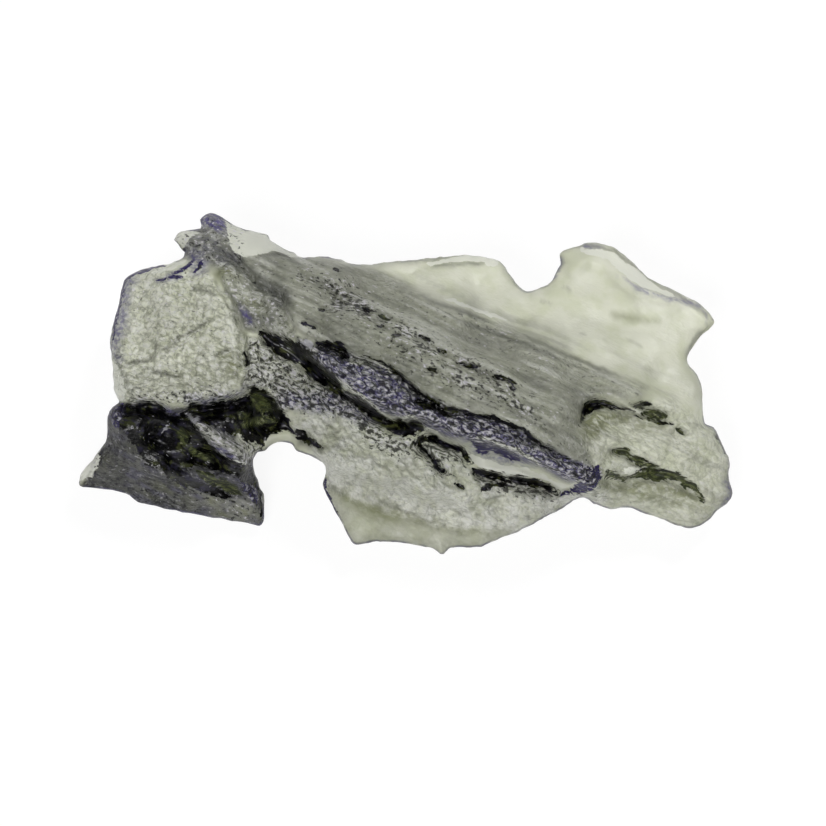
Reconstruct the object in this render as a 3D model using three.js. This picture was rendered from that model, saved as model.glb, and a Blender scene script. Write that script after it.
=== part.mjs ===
import * as THREE from "three";

// A raw moldavite: one splash of natural green glass, etched all over, lying on its flattest side.
// A thick furrowed ridge runs across it, with a thin sheet behind, a sloping apron in front,
// a pale block with a downturned hollow foot at the left and a scooped lobe at the right.
// Lengths are in millimetres, +Z is up and the origin is under the middle of the stone.
//
// Places on the stone are given as [across, up]: how it looks from VIEW_ELEVATION above the table,
// across to the right and up the picture. A height above the table then fixes the point in space.

const VIEW_ELEVATION = THREE.MathUtils.degToRad(65);
const RIM_SHARE = 0.45; // the rim's height, as a share of the way from the underside to the top
const TOP_EDGE = 1.1; // how far in from the rim the top is rounded over
const UNDER_EDGE = 1.7; // the same for the underside
const RELIEF_FADE = 0.7; // ledges and pits fade out this close to the rim
const LEAST_WALL = 0.35; // the thinnest the glass gets away from the rim
const LEAST_WIDTH = 0.8; // the facets can't follow a ledge or groove that is narrower than this
const HEIGHT_SPREAD = 1.15; // how far each height in HEIGHTS reaches

// Facets across the stone between two stations, and facets from ring to ring on each side.
const COLUMNS = 3;
const TOP_ROWS = [4, 12, 8, 4];
const UNDER_ROWS = [3, 4, 4, 3];
const CROWD = 1.5; // above 1, the rings crowd towards the outline and the spine

// The stations run from the left tip to the right tip. At each a line of facets goes from the far
// outline over the shoulder, the spine and the hip to the near outline. far and near are the points
// of the outline since the station before.
const STATIONS = [
  {
    far: [[-14.65, 0.9]], near: [[-14.65, 0.9]],
    shoulder: [-14.65, 0.9], spine: [-14.65, 0.9], hip: [-14.65, 0.9],
  },
  // The pale block, and the foot below it.
  {
    far: [[-14.8, 2.1], [-14.55, 3.35]], near: [[-14.55, -0.3], [-14.3, -1.0]],
    shoulder: [-13.85, 3.1], spine: [-13.7, -0.6], hip: [-14, -0.8],
  },
  {
    far: [[-14.3, 4.5], [-14.1, 5.2]], near: [[-14.65, -1.25], [-14.85, -1.65]],
    shoulder: [-13.25, 4.5], spine: [-13.2, -0.95], hip: [-14.1, -1.3],
  },
  {
    far: [[-13.5, 5.6], [-12.8, 5.8]], near: [[-14.9, -2.6], [-15.1, -3.15]],
    shoulder: [-12.35, 4.85], spine: [-12.4, -1.05], hip: [-13.4, -2.1],
  },
  {
    far: [[-11.9, 5.95]], near: [[-16.1, -4.4], [-16.35, -4.95]],
    shoulder: [-11.35, 4.85], spine: [-11.6, -1.05], hip: [-13.5, -3.3],
  },
  {
    far: [[-11.2, 6.25], [-11.1, 6.75]], near: [[-16.25, -5.25], [-15.45, -5.3], [-14.1, -5.55]],
    shoulder: [-10.5, 5.6], spine: [-10.9, -1.15], hip: [-12.4, -4],
  },
  // The knob at the far left.
  {
    far: [[-11.55, 7.05], [-11.6, 7.25], [-11.3, 7.6]], near: [[-13.25, -6.05], [-12.35, -6.25]],
    shoulder: [-10.25, 6.6], spine: [-10.25, -1.25], hip: [-11.1, -4.6],
  },
  {
    far: [[-10.3, 7.75], [-10.3, 8.2], [-9.8, 8.55]], near: [[-11.0, -6.55], [-9.55, -6.8]],
    shoulder: [-9.6, 6.85], spine: [-9.5, -1.15], hip: [-9.85, -5.1],
  },
  {
    far: [[-9.2, 8.3], [-8.3, 7.75]], near: [[-8.7, -6.95], [-7.8, -7.1]],
    shoulder: [-8.5, 6.6], spine: [-8.85, -1], hip: [-8.85, -5.3],
  },
  {
    far: [[-7.05, 7.45]], near: [[-7.15, -7.1], [-7.05, -5.85]],
    shoulder: [-7.15, 6.0], spine: [-8.1, -0.5], hip: [-8.25, -4.6],
  },
  // The bay in the near side.
  {
    far: [[-6.7, 7.05]], near: [[-7.35, -5.05], [-7.6, -4.2]],
    shoulder: [-6.5, 5.6], spine: [-7.4, 0.7], hip: [-7.85, -3.1],
  },
  {
    far: [[-5.75, 6.6]], near: [[-7.45, -3.6], [-7.0, -3.4]],
    shoulder: [-5.65, 5.35], spine: [-6.7, 1.7], hip: [-7.2, -2.4],
  },
  {
    far: [[-5.2, 6.3]], near: [[-6.55, -3.05], [-5.75, -3.05]],
    shoulder: [-5.1, 5.1], spine: [-5.9, 1.95], hip: [-6.3, -2.1],
  },
  {
    far: [[-4.05, 6.3]], near: [[-5.4, -3.45], [-4.75, -3.7]],
    shoulder: [-4.15, 5.0], spine: [-5, 1.25], hip: [-5.3, -2.1],
  },
  {
    far: [[-3.25, 6.15]], near: [[-4.1, -4.05], [-3.95, -4.6]],
    shoulder: [-3.25, 4.85], spine: [-4.05, 0.4], hip: [-3.9, -2.9],
  },
  {
    far: [[-2.3, 5.9]], near: [[-4.1, -5.2], [-3.85, -5.75]],
    shoulder: [-2.25, 4.6], spine: [-3.15, -0.2], hip: [-3.05, -3.9],
  },
  // The thin sheet behind and the apron in front.
  {
    far: [[-0.2, 6.1]], near: [[-3.15, -7.05], [-2.55, -8.1]],
    shoulder: [-1.0, 4.5], spine: [-2, -1.15], hip: [-2, -4.9],
  },
  {
    far: [[1.8, 6.3]], near: [[-1.6, -8.0], [-0.6, -8.0]],
    shoulder: [0.75, 4.35], spine: [-0.25, -1.8], hip: [-0.5, -5.6],
  },
  {
    far: [[2.75, 6.4], [3.75, 6.35]], near: [[1.15, -8.25], [1.85, -8.6]],
    shoulder: [2.5, 4.1], spine: [1.25, -2.4], hip: [1.25, -6.3],
  },
  {
    far: [[4.45, 6.2], [4.85, 6.0]], near: [[2.35, -8.3], [3.65, -8.25]],
    shoulder: [4.0, 3.85], spine: [3, -2.95], hip: [3, -6.4],
  },
  {
    far: [[5.25, 5.45], [5.65, 4.85]], near: [[4.4, -7.95], [5.35, -7.6]],
    shoulder: [5.0, 3.2], spine: [4.65, -3.25], hip: [4.7, -6],
  },
  {
    far: [[6.15, 4.6], [6.65, 4.7]], near: [[6.1, -7.25], [7.0, -6.75]],
    shoulder: [6.25, 2.85], spine: [6, -3.85], hip: [6.2, -5.7],
  },
  {
    far: [[7.3, 5.05], [7.8, 5.9]], near: [[7.75, -6.4], [8.55, -5.85]],
    shoulder: [7.75, 3.35], spine: [7.35, -4.4], hip: [7.7, -5.35],
  },
  {
    far: [[7.85, 6.5], [8.6, 6.85], [9.45, 7.05]], near: [[9.05, -5.8], [9.55, -6.1]],
    shoulder: [9.25, 4.6], spine: [8.6, -4.45], hip: [8.95, -5.25],
  },
  // The scooped lobe at the right.
  {
    far: [[10.25, 6.9], [10.95, 6.5]], near: [[10.25, -6.35], [11.15, -6.3]],
    shoulder: [10.35, 4.1], spine: [9.6, -4.05], hip: [10.25, -5.3],
  },
  {
    far: [[11.45, 6.05], [12.3, 5.25]], near: [[11.95, -6.55], [12.7, -6.8]],
    shoulder: [11.5, 3.35], spine: [10.4, -3.65], hip: [11.5, -5.5],
  },
  {
    far: [[13.7, 4.55], [14.65, 4.05]], near: [[13.5, -7.15], [14.3, -7.3]],
    shoulder: [12.75, 2.35], spine: [11.15, -3.35], hip: [12.5, -5.7],
  },
  {
    far: [[15.25, 3.5], [15.55, 3.05]], near: [[15.05, -7.05], [15.5, -6.55]],
    shoulder: [13.35, 1.6], spine: [11.75, -3.15], hip: [13.35, -5.65],
  },
  {
    far: [[15.25, 2.65], [14.85, 2.3]], near: [[16.15, -6.0]],
    shoulder: [13.5, 1.0], spine: [12.15, -3.05], hip: [14.15, -5.4],
  },
  {
    far: [[14.3, 1.55], [14.15, 1.0]], near: [[16.4, -5.5]],
    shoulder: [13.5, 0.2], spine: [12.5, -3], hip: [14.5, -5],
  },
  {
    far: [[14.55, 0.5], [14.85, -0.15]], near: [[16.2, -4.8]],
    shoulder: [13.75, -0.65], spine: [12.85, -3.05], hip: [14.75, -4.65],
  },
  {
    far: [[14.9, -1.1], [15.0, -2.0]], near: [[16.25, -4.0]],
    shoulder: [14.0, -1.65], spine: [13.5, -3.15], hip: [15, -4.15],
  },
  {
    far: [[15.5, -2.35], [15.8, -2.95], [16.1, -3.5]], near: [[16.1, -3.5]],
    shoulder: [16.1, -3.5], spine: [16.1, -3.5], hip: [16.1, -3.5],
  },
];

// The broad form: [across, up, height of the top, height of the underside] at places over the stone.
const HEIGHTS = {
  block: [
    [-14.0, 4.6, 5.0, 2.4], [-14.0, 2.1, 5.2, 2.6], [-14.0, -0.15, 5.5, 2.8], [-11.25, 4.6, 6.1, 3.1],
    [-11.25, 2.1, 6.3, 3.1], [-11.25, -0.15, 6.5, 3.1], [-8.5, 4.1, 6.5, 2.6], [-8.5, 1.6, 6.5, 2.6],
    [-8.5, -0.15, 6.3, 2.6],
  ],
  foot: [
    [-14.25, -1.5, 5.9, 3.3], [-12.75, -1.65, 6.1, 2.8], [-10.25, -1.65, 6.1, 2.8], [-8.5, -1.4, 5.9, 2.6],
    [-14.75, -3.4, 3.7, 1.7], [-12.75, -3.4, 4.1, 1.3], [-10.25, -3.65, 3.9, 0.7], [-8.0, -3.65, 4.8, 2.2],
    [-16.0, -5.0, 1.7, 1.0], [-13.75, -5.4, 1.5, 0.2], [-11.25, -6.15, 1.3, 0.0], [-8.75, -6.65, 1.1, -0.2],
    [-7.5, -6.65, 1.1, -0.2], [-7.5, -5.4, 2.6, 0.2],
  ],
  knob: [
    [-9.8, 8.1, 5.9, 3.9], [-11.0, 7.35, 5.7, 4.1], [-10.25, 6.6, 6.1, 3.5], [-8.25, 7.1, 6.1, 3.5],
    [-7.0, 6.6, 6.3, 3.3], [-8.75, 5.1, 6.8, 2.4], [-5.75, 5.85, 6.8, 2.8], [-3.75, 5.5, 6.9, 2.8],
  ],
  ridge: [
    [-8.75, 6.0, 6.8, 2.8], [-5.25, 4.1, 7.8, 1.3], [-2.25, 2.6, 8.6, 0.5], [0.75, 1.35, 8.9, 0.2],
    [3.75, -0.15, 8.7, 0.2], [6.75, -1.65, 7.8, 0.5], [9.0, -3.15, 6.8, 0.9], [-5.25, 1.85, 7.6, 1.1],
    [-2.25, 0.35, 7.8, -0.3], [0.75, -0.9, 7.6, -0.5], [3.75, -1.9, 7.4, -0.4], [6.75, -3.4, 6.5, 0.2],
    [9.0, -4.4, 5.7, 0.9],
  ],
  apron: [
    [-7.0, 0.85, 5.7, 2.2], [-5.75, -0.4, 5.5, 1.7], [-6.5, -2.65, 3.9, 2.6], [-3.25, -1.9, 5.0, 0.7],
    [-1.25, -2.9, 5.0, -0.1], [1.25, -3.9, 4.7, 0.0], [3.75, -5.15, 3.9, 0.3], [6.25, -5.65, 3.5, 1.0],
    [-2.75, -6.9, 2.4, 1.0], [-0.25, -7.15, 2.0, 0.7], [2.25, -7.65, 1.5, 0.2], [4.75, -6.9, 2.0, 0.5],
    [7.25, -6.15, 2.8, 1.3],
  ],
  sheet: [
    [-1.25, 5.35, 5.9, 3.9], [1.75, 5.35, 5.5, 3.7], [4.25, 5.6, 5.0, 3.7], [1.75, 3.6, 6.8, 3.3],
    [4.75, 2.6, 6.1, 3.7], [6.25, 3.85, 5.2, 3.9], [7.75, 3.1, 5.3, 3.8], [8.5, 6.1, 4.8, 3.7],
    [10.25, 5.85, 4.7, 3.5], [10.75, 3.6, 5.0, 3.5], [12.75, 3.1, 4.8, 3.3], [14.75, 3.35, 4.4, 3.5],
    [11.75, 1.6, 5.5, 3.1], [13.75, 0.6, 4.8, 3.1], [9.25, 1.1, 6.1, 2.8], [6.75, 1.6, 7.0, 2.4],
  ],
  lobe: [
    [10.75, -0.4, 6.3, 1.7], [13.25, -0.9, 5.2, 2.2], [9.75, -2.4, 5.7, 0.9], [11.75, -2.65, 5.2, 1.1],
    [14.25, -2.9, 4.6, 1.5], [15.75, -3.9, 3.5, 1.7], [10.75, -4.15, 5.0, 0.7], [12.75, -4.9, 4.1, 0.7],
    [14.75, -5.9, 3.1, 0.7], [15.75, -5.4, 2.6, 1.1], [10.75, -5.65, 3.3, 0.9], [13.25, -6.65, 2.2, 0.5],
  ],
};

// Ledges: the glass stands up by rise on the far side of each line and sinks by groove along its foot.
// reach is how far behind the line the rise dies away, and width how wide the groove is.
const LEDGES = [
  {
    name: "cliff under the ridge", rise: 0.9, reach: 2.2, groove: 1.1, width: 0.45,
    line: [
      [-7.15, 2.6], [-6.05, 2.1], [-5.25, 1.5], [-4.15, 0.5], [-3.25, -0.1], [-2.35, -0.9], [-1.35, -1.6],
      [-0.1, -1.85], [0.85, -1.9], [1.25, -2.4], [2.05, -2.75], [2.85, -3.0], [3.45, -2.9], [4.65, -3.25],
      [5.85, -3.8], [7.0, -4.4], [7.75, -4.75], [8.75, -5.15], [9.6, -5.0],
    ],
  },
  {
    name: "step down to the lower rib", rise: 0.45, reach: 1.6, groove: 0.5, width: 0.28,
    line: [
      [-4.3, 1.95], [-3.35, 1.95], [-2.4, 1.35], [-1.45, 1.0], [-0.5, 0.55], [0.75, -0.1], [1.95, -1.2],
      [4.05, -1.7], [5.35, -2.15], [6.75, -3.0], [8.2, -3.7], [9.15, -4.15],
    ],
  },
  {
    name: "edge of the strip below the cliff", rise: 0.6, reach: 0.9, groove: 0.6, width: 0.35,
    line: [[3.25, -4.3], [4.65, -4.6], [6.05, -4.75], [7.0, -4.9], [7.85, -5.35]],
  },
  {
    name: "fold beside the knob", rise: 0.4, reach: 1.2, groove: 0.45, width: 0.3,
    line: [
      [-9.0, 6.3], [-8.05, 5.85], [-7.25, 4.9], [-6.4, 4.55], [-5.9, 4.05], [-5.9, 3.45], [-5.45, 2.75],
      [-5.35, 2.05],
    ],
  },
  {
    name: "edge of the pale block", rise: 0.5, reach: 1.0, groove: 0.3, width: 0.3,
    line: [[-9.5, 6.0], [-8.65, 4.6], [-8.25, 3.6], [-7.95, 2.6], [-7.9, 1.6], [-7.75, 0.7], [-8.25, -0.5]],
  },
  {
    name: "brow over the foot", rise: 0.5, reach: 1.2, groove: 1.2, width: 0.5,
    line: [
      [-14.75, -1.3], [-13.25, -1.1], [-11.5, -1.0], [-10.25, -1.3], [-8.75, -1.0], [-7.75, -0.65],
      [-6.8, -1.0],
    ],
  },
  {
    name: "edge of the thin sheet", rise: -0.35, reach: 1.6, groove: 0.0, width: 0.5,
    line: [[-3.0, 6.0], [0.75, 4.5], [3.75, 3.2], [6.75, 1.85], [9.75, 1.0], [12.75, -0.15]],
  },
  {
    name: "brow over the scoop", rise: 0.45, reach: 1.0, groove: 0.7, width: 0.35,
    line: [
      [8.65, -2.5], [8.8, -1.7], [9.15, -1.15], [9.85, -0.9], [10.55, -1.1], [11.25, -1.25], [12.3, -1.55],
      [13.25, -1.95],
    ],
  },
  {
    name: "second brow of the lobe", rise: 0.3, reach: 0.9, groove: 0.45, width: 0.3,
    line: [[10.05, -3.2], [11.25, -3.45], [11.75, -4.05], [12.65, -4.4]],
  },
  {
    name: "third brow of the lobe", rise: 0.35, reach: 0.9, groove: 0.5, width: 0.35,
    line: [[9.6, -4.65], [10.55, -4.75], [11.75, -4.5], [12.9, -4.5], [14.1, -5.0], [14.8, -5.8]],
  },
];

// Ribs stand up by rise along their line, or sink where rise is negative.
const RIBS = [
  {
    name: "glossy rib in the foot", rise: 0.8, width: 0.4,
    line: [[-10.5, -1.6], [-9.7, -2.65], [-8.75, -3.15], [-7.8, -3.75]],
  },
  {
    name: "lower edge of the hollow", rise: 0.5, width: 0.7,
    line: [[-14.4, -1.8], [-13.25, -3.65], [-11.0, -5.15], [-8.0, -5.9]],
  },
  {
    name: "upturned lip", rise: 0.35, width: 0.4,
    line: [[8.05, 6.1], [9.25, 6.45], [10.55, 5.6], [11.75, 4.9], [12.9, 4.4], [14.55, 3.8]],
  },
  {
    name: "furrow along the ridge", rise: -0.35, width: 0.35,
    line: [[-3.75, 3.95], [-1.25, 3.1], [0.5, 2.2], [2.3, 1.2], [3.7, 0.6], [4.65, 0.1], [5.85, -0.45]],
  },
  {
    name: "gash in the apron", rise: -0.6, width: 0.35,
    line: [[0.5, -3.2], [1.25, -3.8], [2.05, -4.65]],
  },
];

// Hollows: bowls sunk into the top, turned by turn degrees.
const HOLLOWS = [
  { name: "left hollow of the foot", at: [-12.0, -2.5], radii: [1.5, 1.0], turn: -25, depth: 1.1 },
  { name: "right hollow of the foot", at: [-9.7, -4.1], radii: [1.7, 0.9], turn: -20, depth: 1.3 },
  { name: "cave beside the bay", at: [-7.1, -1.6], radii: [1.1, 1.2], turn: 0, depth: 1.6 },
  { name: "scoop in the lobe", at: [11.1, -2.1], radii: [2.7, 1.1], turn: -12, depth: 0.55 },
];

// Pits and furrows of the underside, cut upwards.
const UNDER_HOLLOWS = [
  { name: "dent under the block", at: [-11.5, 2.0], radii: [2.6, 2.2], turn: 10, depth: 0.7 },
  { name: "dent under the ridge", at: [-3.6, 3.4], radii: [2.4, 1.1], turn: -28, depth: 0.8 },
  { name: "furrow under the sheet", at: [4.2, 3.6], radii: [4.6, 0.9], turn: -26, depth: 0.5 },
  { name: "dent under the lip", at: [10.8, 3.8], radii: [2.0, 1.3], turn: -35, depth: 0.5 },
  { name: "furrow under the lobe", at: [11.4, -1.4], radii: [3.2, 1.0], turn: -24, depth: 0.7 },
  { name: "dent behind the bay", at: [-5.6, -0.9], radii: [1.6, 1.2], turn: 0, depth: 0.6 },
];

const clamp = (x, low, high) => Math.min(high, Math.max(low, x));
const smooth = (x) => x * x * (3 - 2 * x);
const lerp = (a, b, t) => a + (b - a) * t;
const lerpPoint = (a, b, t) => [lerp(a[0], b[0], t), lerp(a[1], b[1], t)];
// A quarter circle: how far the glass has opened at this share of the rounded edge.
const rounded = (x) => Math.sqrt(1 - (1 - clamp(x, 0, 1)) ** 2);

// The point at a fractional index along a smooth curve through the points.
function alongCurve(points, index) {
  const last = points.length - 1;
  const i = clamp(Math.floor(index), 0, last - 1);
  const t = index - i;
  const [before, here, next, after] = [i - 1, i, i + 1, i + 2].map((k) => points[clamp(k, 0, last)]);
  return [0, 1].map((k) => {
    const slope = next[k] - before[k];
    const bend = 2 * before[k] - 5 * here[k] + 4 * next[k] - after[k];
    const twist = 3 * (here[k] - next[k]) + after[k] - before[k];
    return here[k] + 0.5 * t * (slope + t * (bend + t * twist));
  });
}

// One side of the outline as a list of points, and the index in it of each station.
function outlineSide(side) {
  const points = [];
  const marks = STATIONS.map((station) => points.push(...station[side]) - 1);
  return { points, marks };
}

const FAR = outlineSide("far");
const NEAR = outlineSide("near");

// The nearest place on an open line: its distance, the side it is passed on (positive to the left of
// the line's direction), and how far along the line it is, from 0 to 1.
function nearest(line, u, v) {
  let best = { distance: Infinity, side: 1, share: 0 };
  let walked = 0;
  for (let i = 0; i + 1 < line.length; i++) {
    const [ax, ay] = line[i];
    const dx = line[i + 1][0] - ax;
    const dy = line[i + 1][1] - ay;
    const length = Math.hypot(dx, dy);
    const t = clamp(((u - ax) * dx + (v - ay) * dy) / (length * length), 0, 1);
    const distance = Math.hypot(u - ax - t * dx, v - ay - t * dy);
    if (distance < best.distance) {
      const side = Math.sign(dx * (v - ay) - dy * (u - ax)) || 1;
      best = { distance, side, share: walked + t * length };
    }
    walked += length;
  }
  best.share /= walked;
  return best;
}

// Both ends of a line fade in over this share of its length.
const END_FADE = 0.12;
const ends = (share) => smooth(clamp(Math.min(share, 1 - share) / END_FADE, 0, 1));

function ledgeHeight(ledge, u, v) {
  const { distance, side, share } = nearest(ledge.line, u, v);
  const across = distance * side;
  const width = Math.max(ledge.width, LEAST_WIDTH);
  const step = 0.5 * (1 + Math.tanh((2 * across) / width));
  const back = Math.exp(-((Math.max(across, 0) / ledge.reach) ** 2));
  const foot = Math.exp(-(((across + 0.6 * width) / width) ** 2));
  return ends(share) * (ledge.rise * step * back - ledge.groove * foot);
}

function ribHeight(rib, u, v) {
  const { distance, share } = nearest(rib.line, u, v);
  return ends(share) * rib.rise * Math.exp(-((distance / Math.max(rib.width, LEAST_WIDTH)) ** 2));
}

// A bowl, deepest in the middle and level at its edge.
function bowl(hollow, u, v) {
  const turn = THREE.MathUtils.degToRad(hollow.turn);
  const du = u - hollow.at[0];
  const dv = v - hollow.at[1];
  const along = (du * Math.cos(turn) + dv * Math.sin(turn)) / hollow.radii[0];
  const across = (dv * Math.cos(turn) - du * Math.sin(turn)) / hollow.radii[1];
  return hollow.depth * (1 - smooth(clamp(Math.hypot(along, across), 0, 1)));
}

// The broad heights of the top and the underside at a place: a smooth blend of the heights around it.
const PLACES = Object.values(HEIGHTS).flat();

function broadHeights(u, v) {
  let weight = 1e-12;
  let top = 4e-12;
  let under = 2e-12;
  for (const [pu, pv, pTop, pUnder] of PLACES) {
    const w = Math.exp(-((u - pu) ** 2 + (v - pv) ** 2) / HEIGHT_SPREAD ** 2);
    weight += w;
    top += w * pTop;
    under += w * pUnder;
  }
  return [top / weight, under / weight];
}

// The outline as one closed line, finely divided, for measuring how far in a place lies.
const OUTLINE_STEP = 0.2;
const sideLine = ({ points }) => {
  const line = [];
  for (let i = 0; i < points.length - 1; i += OUTLINE_STEP) line.push(alongCurve(points, i));
  return line;
};
const OUTLINE = [...sideLine(FAR), ...sideLine(NEAR).reverse()];
OUTLINE.push(OUTLINE[0]);

const total = (list, height, u, v) => list.reduce((sum, item) => sum + height(item, u, v), 0);

// Heights of the two surfaces at a place. They meet at the rim, and the underside rests on the table.
function surfaceHeights(u, v) {
  const inward = nearest(OUTLINE, u, v).distance;
  const [top, under] = broadHeights(u, v);
  const thick = top - under;
  const fade = smooth(clamp(inward / RELIEF_FADE, 0, 1));
  const relief = total(LEDGES, ledgeHeight, u, v) + total(RIBS, ribHeight, u, v) - total(HOLLOWS, bowl, u, v);
  const over = under + thick * (RIM_SHARE + (1 - RIM_SHARE) * rounded(inward / TOP_EDGE)) + fade * relief;
  const below =
    under +
    thick * RIM_SHARE * (1 - rounded(inward / UNDER_EDGE)) +
    fade * total(UNDER_HOLLOWS, bowl, u, v);
  const rest = Math.max(below, 0);
  return { over: Math.max(over, rest + LEAST_WALL * fade), below: rest };
}

// From a place in the view and a height to a point in space.
function inSpace([u, v], z) {
  return [u, (v - z * Math.cos(VIEW_ELEVATION)) / Math.sin(VIEW_ELEVATION), z];
}

// The places down one line of facets, ring by ring. They crowd towards both outlines and the spine.
function linePlaces(column, rows) {
  const station = Math.min(Math.floor(column / COLUMNS), STATIONS.length - 2);
  const t = column / COLUMNS - station;
  const onSide = ({ points, marks }) => alongCurve(points, lerp(marks[station], marks[station + 1], t));
  const inside = (ring) => lerpPoint(STATIONS[station][ring], STATIONS[station + 1][ring], t);
  const rings = [onSide(FAR), inside("shoulder"), inside("spine"), inside("hip"), onSide(NEAR)];
  const places = [rings[0]];
  rows.forEach((count, k) => {
    for (let i = 1; i <= count; i++) {
      const share = k % 2 === 0 ? (i / count) ** CROWD : 1 - (1 - i / count) ** CROWD;
      places.push(lerpPoint(rings[k], rings[k + 1], share));
    }
  });
  return places;
}

// The closed stone. The top and the underside share the outline, and each tip is a single point.
function stoneGeometry() {
  const vertices = [];
  const faces = [];
  const columns = COLUMNS * (STATIONS.length - 1);
  const addPoint = (place, z) => vertices.push(inSpace(place, z)) - 1;

  const grids = [TOP_ROWS, UNDER_ROWS].map((rows) => {
    const grid = [];
    for (let column = 0; column <= columns; column++) grid.push(linePlaces(column, rows));
    return grid;
  });
  const shared = new Map();
  const pointIndex = (surface, column, row) => {
    const places = grids[surface][column];
    const place = places[row];
    const onRim = row === 0 || row === places.length - 1;
    const tip = column === 0 || column === columns;
    const rowName = onRim ? (row === 0 ? "far" : "near") : surface + "." + row;
    const key = tip ? "tip" + column : column + ":" + rowName;
    if (!shared.has(key)) {
      const { over, below } = surfaceHeights(...place);
      shared.set(key, addPoint(place, surface === 0 || onRim || tip ? over : below));
    }
    return shared.get(key);
  };
  const addFace = (a, b, c) => {
    if (a !== b && b !== c && c !== a) faces.push(a, b, c);
  };
  for (const surface of [0, 1]) {
    for (let column = 0; column < columns; column++) {
      for (let row = 0; row + 1 < grids[surface][0].length; row++) {
        const [a, b, c, d] = [
          [column, row],
          [column, row + 1],
          [column + 1, row + 1],
          [column + 1, row],
        ].map(([k, r]) => pointIndex(surface, k, r));
        if (surface === 0) {
          addFace(a, b, c);
          addFace(a, c, d);
        } else {
          addFace(a, c, b);
          addFace(a, d, c);
        }
      }
    }
  }
  const geometry = new THREE.BufferGeometry();
  geometry.setAttribute("position", new THREE.Float32BufferAttribute(vertices.flat(), 3));
  geometry.setIndex(faces);
  geometry.computeVertexNormals();
  return geometry;
}

// Moves the stone so that the origin is on the table, under the middle of its box.
function standAtOrigin(geometry) {
  geometry.computeBoundingBox();
  const middle = geometry.boundingBox.getCenter(new THREE.Vector3());
  geometry.translate(-middle.x, -middle.y, 0);
  return geometry;
}

const glass = new THREE.MeshStandardMaterial({ color: 0x9aa38c, roughness: 0.35, metalness: 0 });

const stone = new THREE.Mesh(standAtOrigin(stoneGeometry()), glass);
stone.name = "moldavite";

const moldavite = new THREE.Group();
moldavite.name = "raw_moldavite";
moldavite.add(stone);

export default moldavite;
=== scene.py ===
import math

import bpy
import numpy as np
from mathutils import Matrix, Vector


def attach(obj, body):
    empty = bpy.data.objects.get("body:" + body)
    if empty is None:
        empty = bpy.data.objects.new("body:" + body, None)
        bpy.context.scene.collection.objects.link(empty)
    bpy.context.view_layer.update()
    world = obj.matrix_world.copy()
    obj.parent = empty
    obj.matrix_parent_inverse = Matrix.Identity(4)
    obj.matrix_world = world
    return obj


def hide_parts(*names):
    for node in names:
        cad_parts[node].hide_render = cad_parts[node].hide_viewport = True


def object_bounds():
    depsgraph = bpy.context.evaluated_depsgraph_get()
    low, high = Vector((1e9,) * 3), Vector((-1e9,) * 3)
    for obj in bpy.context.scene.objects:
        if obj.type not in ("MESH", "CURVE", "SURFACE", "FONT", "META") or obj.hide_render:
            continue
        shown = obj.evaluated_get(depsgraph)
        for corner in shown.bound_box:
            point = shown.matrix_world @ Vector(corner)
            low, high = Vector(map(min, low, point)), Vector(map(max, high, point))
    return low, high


# A raw moldavite on a pale table. The stone is one closed surface worked out with numpy.
# Places on it are (across, up) in millimetres, as it looks from VIEW_ELEVATION above the table:
# across to the right and up the picture. A height above the table then fixes the point in space.
# The top and the underside are two height fields over the same outline.

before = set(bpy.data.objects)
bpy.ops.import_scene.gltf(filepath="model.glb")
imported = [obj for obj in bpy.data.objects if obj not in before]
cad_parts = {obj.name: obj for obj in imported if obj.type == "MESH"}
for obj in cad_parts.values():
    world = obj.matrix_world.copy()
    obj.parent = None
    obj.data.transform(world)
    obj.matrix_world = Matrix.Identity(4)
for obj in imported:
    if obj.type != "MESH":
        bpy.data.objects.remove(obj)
cad_low, cad_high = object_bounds()

MM = 0.001
VIEW_ELEVATION = math.radians(65)

# The broad form
FALLBACK_TOP = 4.0  # the top's height where no place in HEIGHTS reaches
FALLBACK_UNDER = 2.0  # the underside's height there
RIM_SHARE = 0.45  # the rim's height, as a share of the way from the underside to the top
TOP_EDGE = 1.1  # how far in from the rim the top is rounded over
UNDER_EDGE = 1.7  # the same for the underside
RELIEF_FADE = 0.7  # ledges and pits fade out this close to the rim
FINE_FADE = 0.25  # the fine relief fades out this close to the rim
LEAST_WALL = 0.35  # the thinnest the glass gets away from the rim
HEIGHT_SPREAD = 1.15  # how far each height in HEIGHTS reaches
END_FADE = 0.12  # both ends of a line fade in over this share of its length

# The grid
COLUMNS = 380
TOP_ROWS = (16, 98, 56, 24)  # rows from the far outline to the shoulder, spine, hip and near outline
UNDER_ROWS = (8, 14, 14, 8)
CROWD = 1.5  # how strongly the rows crowd towards the outline
OUTLINE_STEP = 0.2  # the outline's steps, as a share of the way between two of its points

# Texture of the etched surface
FLOW_ANGLE = math.radians(-25)  # the striations fall to the right at this angle
STRIATION = (2.4, 0.26)  # length and spacing of the striations
CELL_SIZE = 0.46  # bumps of the pale block
GRANULE_SIZE = 0.38  # granules of the apron
LUMP_SIZE = 0.5  # lumps of the lower rib
OUTLINE_RAGGED = 0.06  # how far the outline wanders in and out
NOISE_PERIOD = 128  # lattice steps after which a noise repeats
LINE_TAPER = 0.2  # a drawn line narrows over this share of its length at each end
LINE_POINT = 0.4  # and by this much more than its half width, so that it ends in a point

# Grains of the glass, drawn only as colour, roughness and a shallow bump
FINE_GRIT_SIZE = 0.16
GRIT_SIZE = 0.2
FLECK_SIZE = 0.19
GRAIN_SIZE = 0.27
JOINTED_SIZE = 0.34  # granules with dark joints between them
PATCH_SIZE = 0.4
MOTTLE_SIZE = 0.45
CLOUD_SIZE = 1.4
ETCH_DEPTH = 0.1

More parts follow.
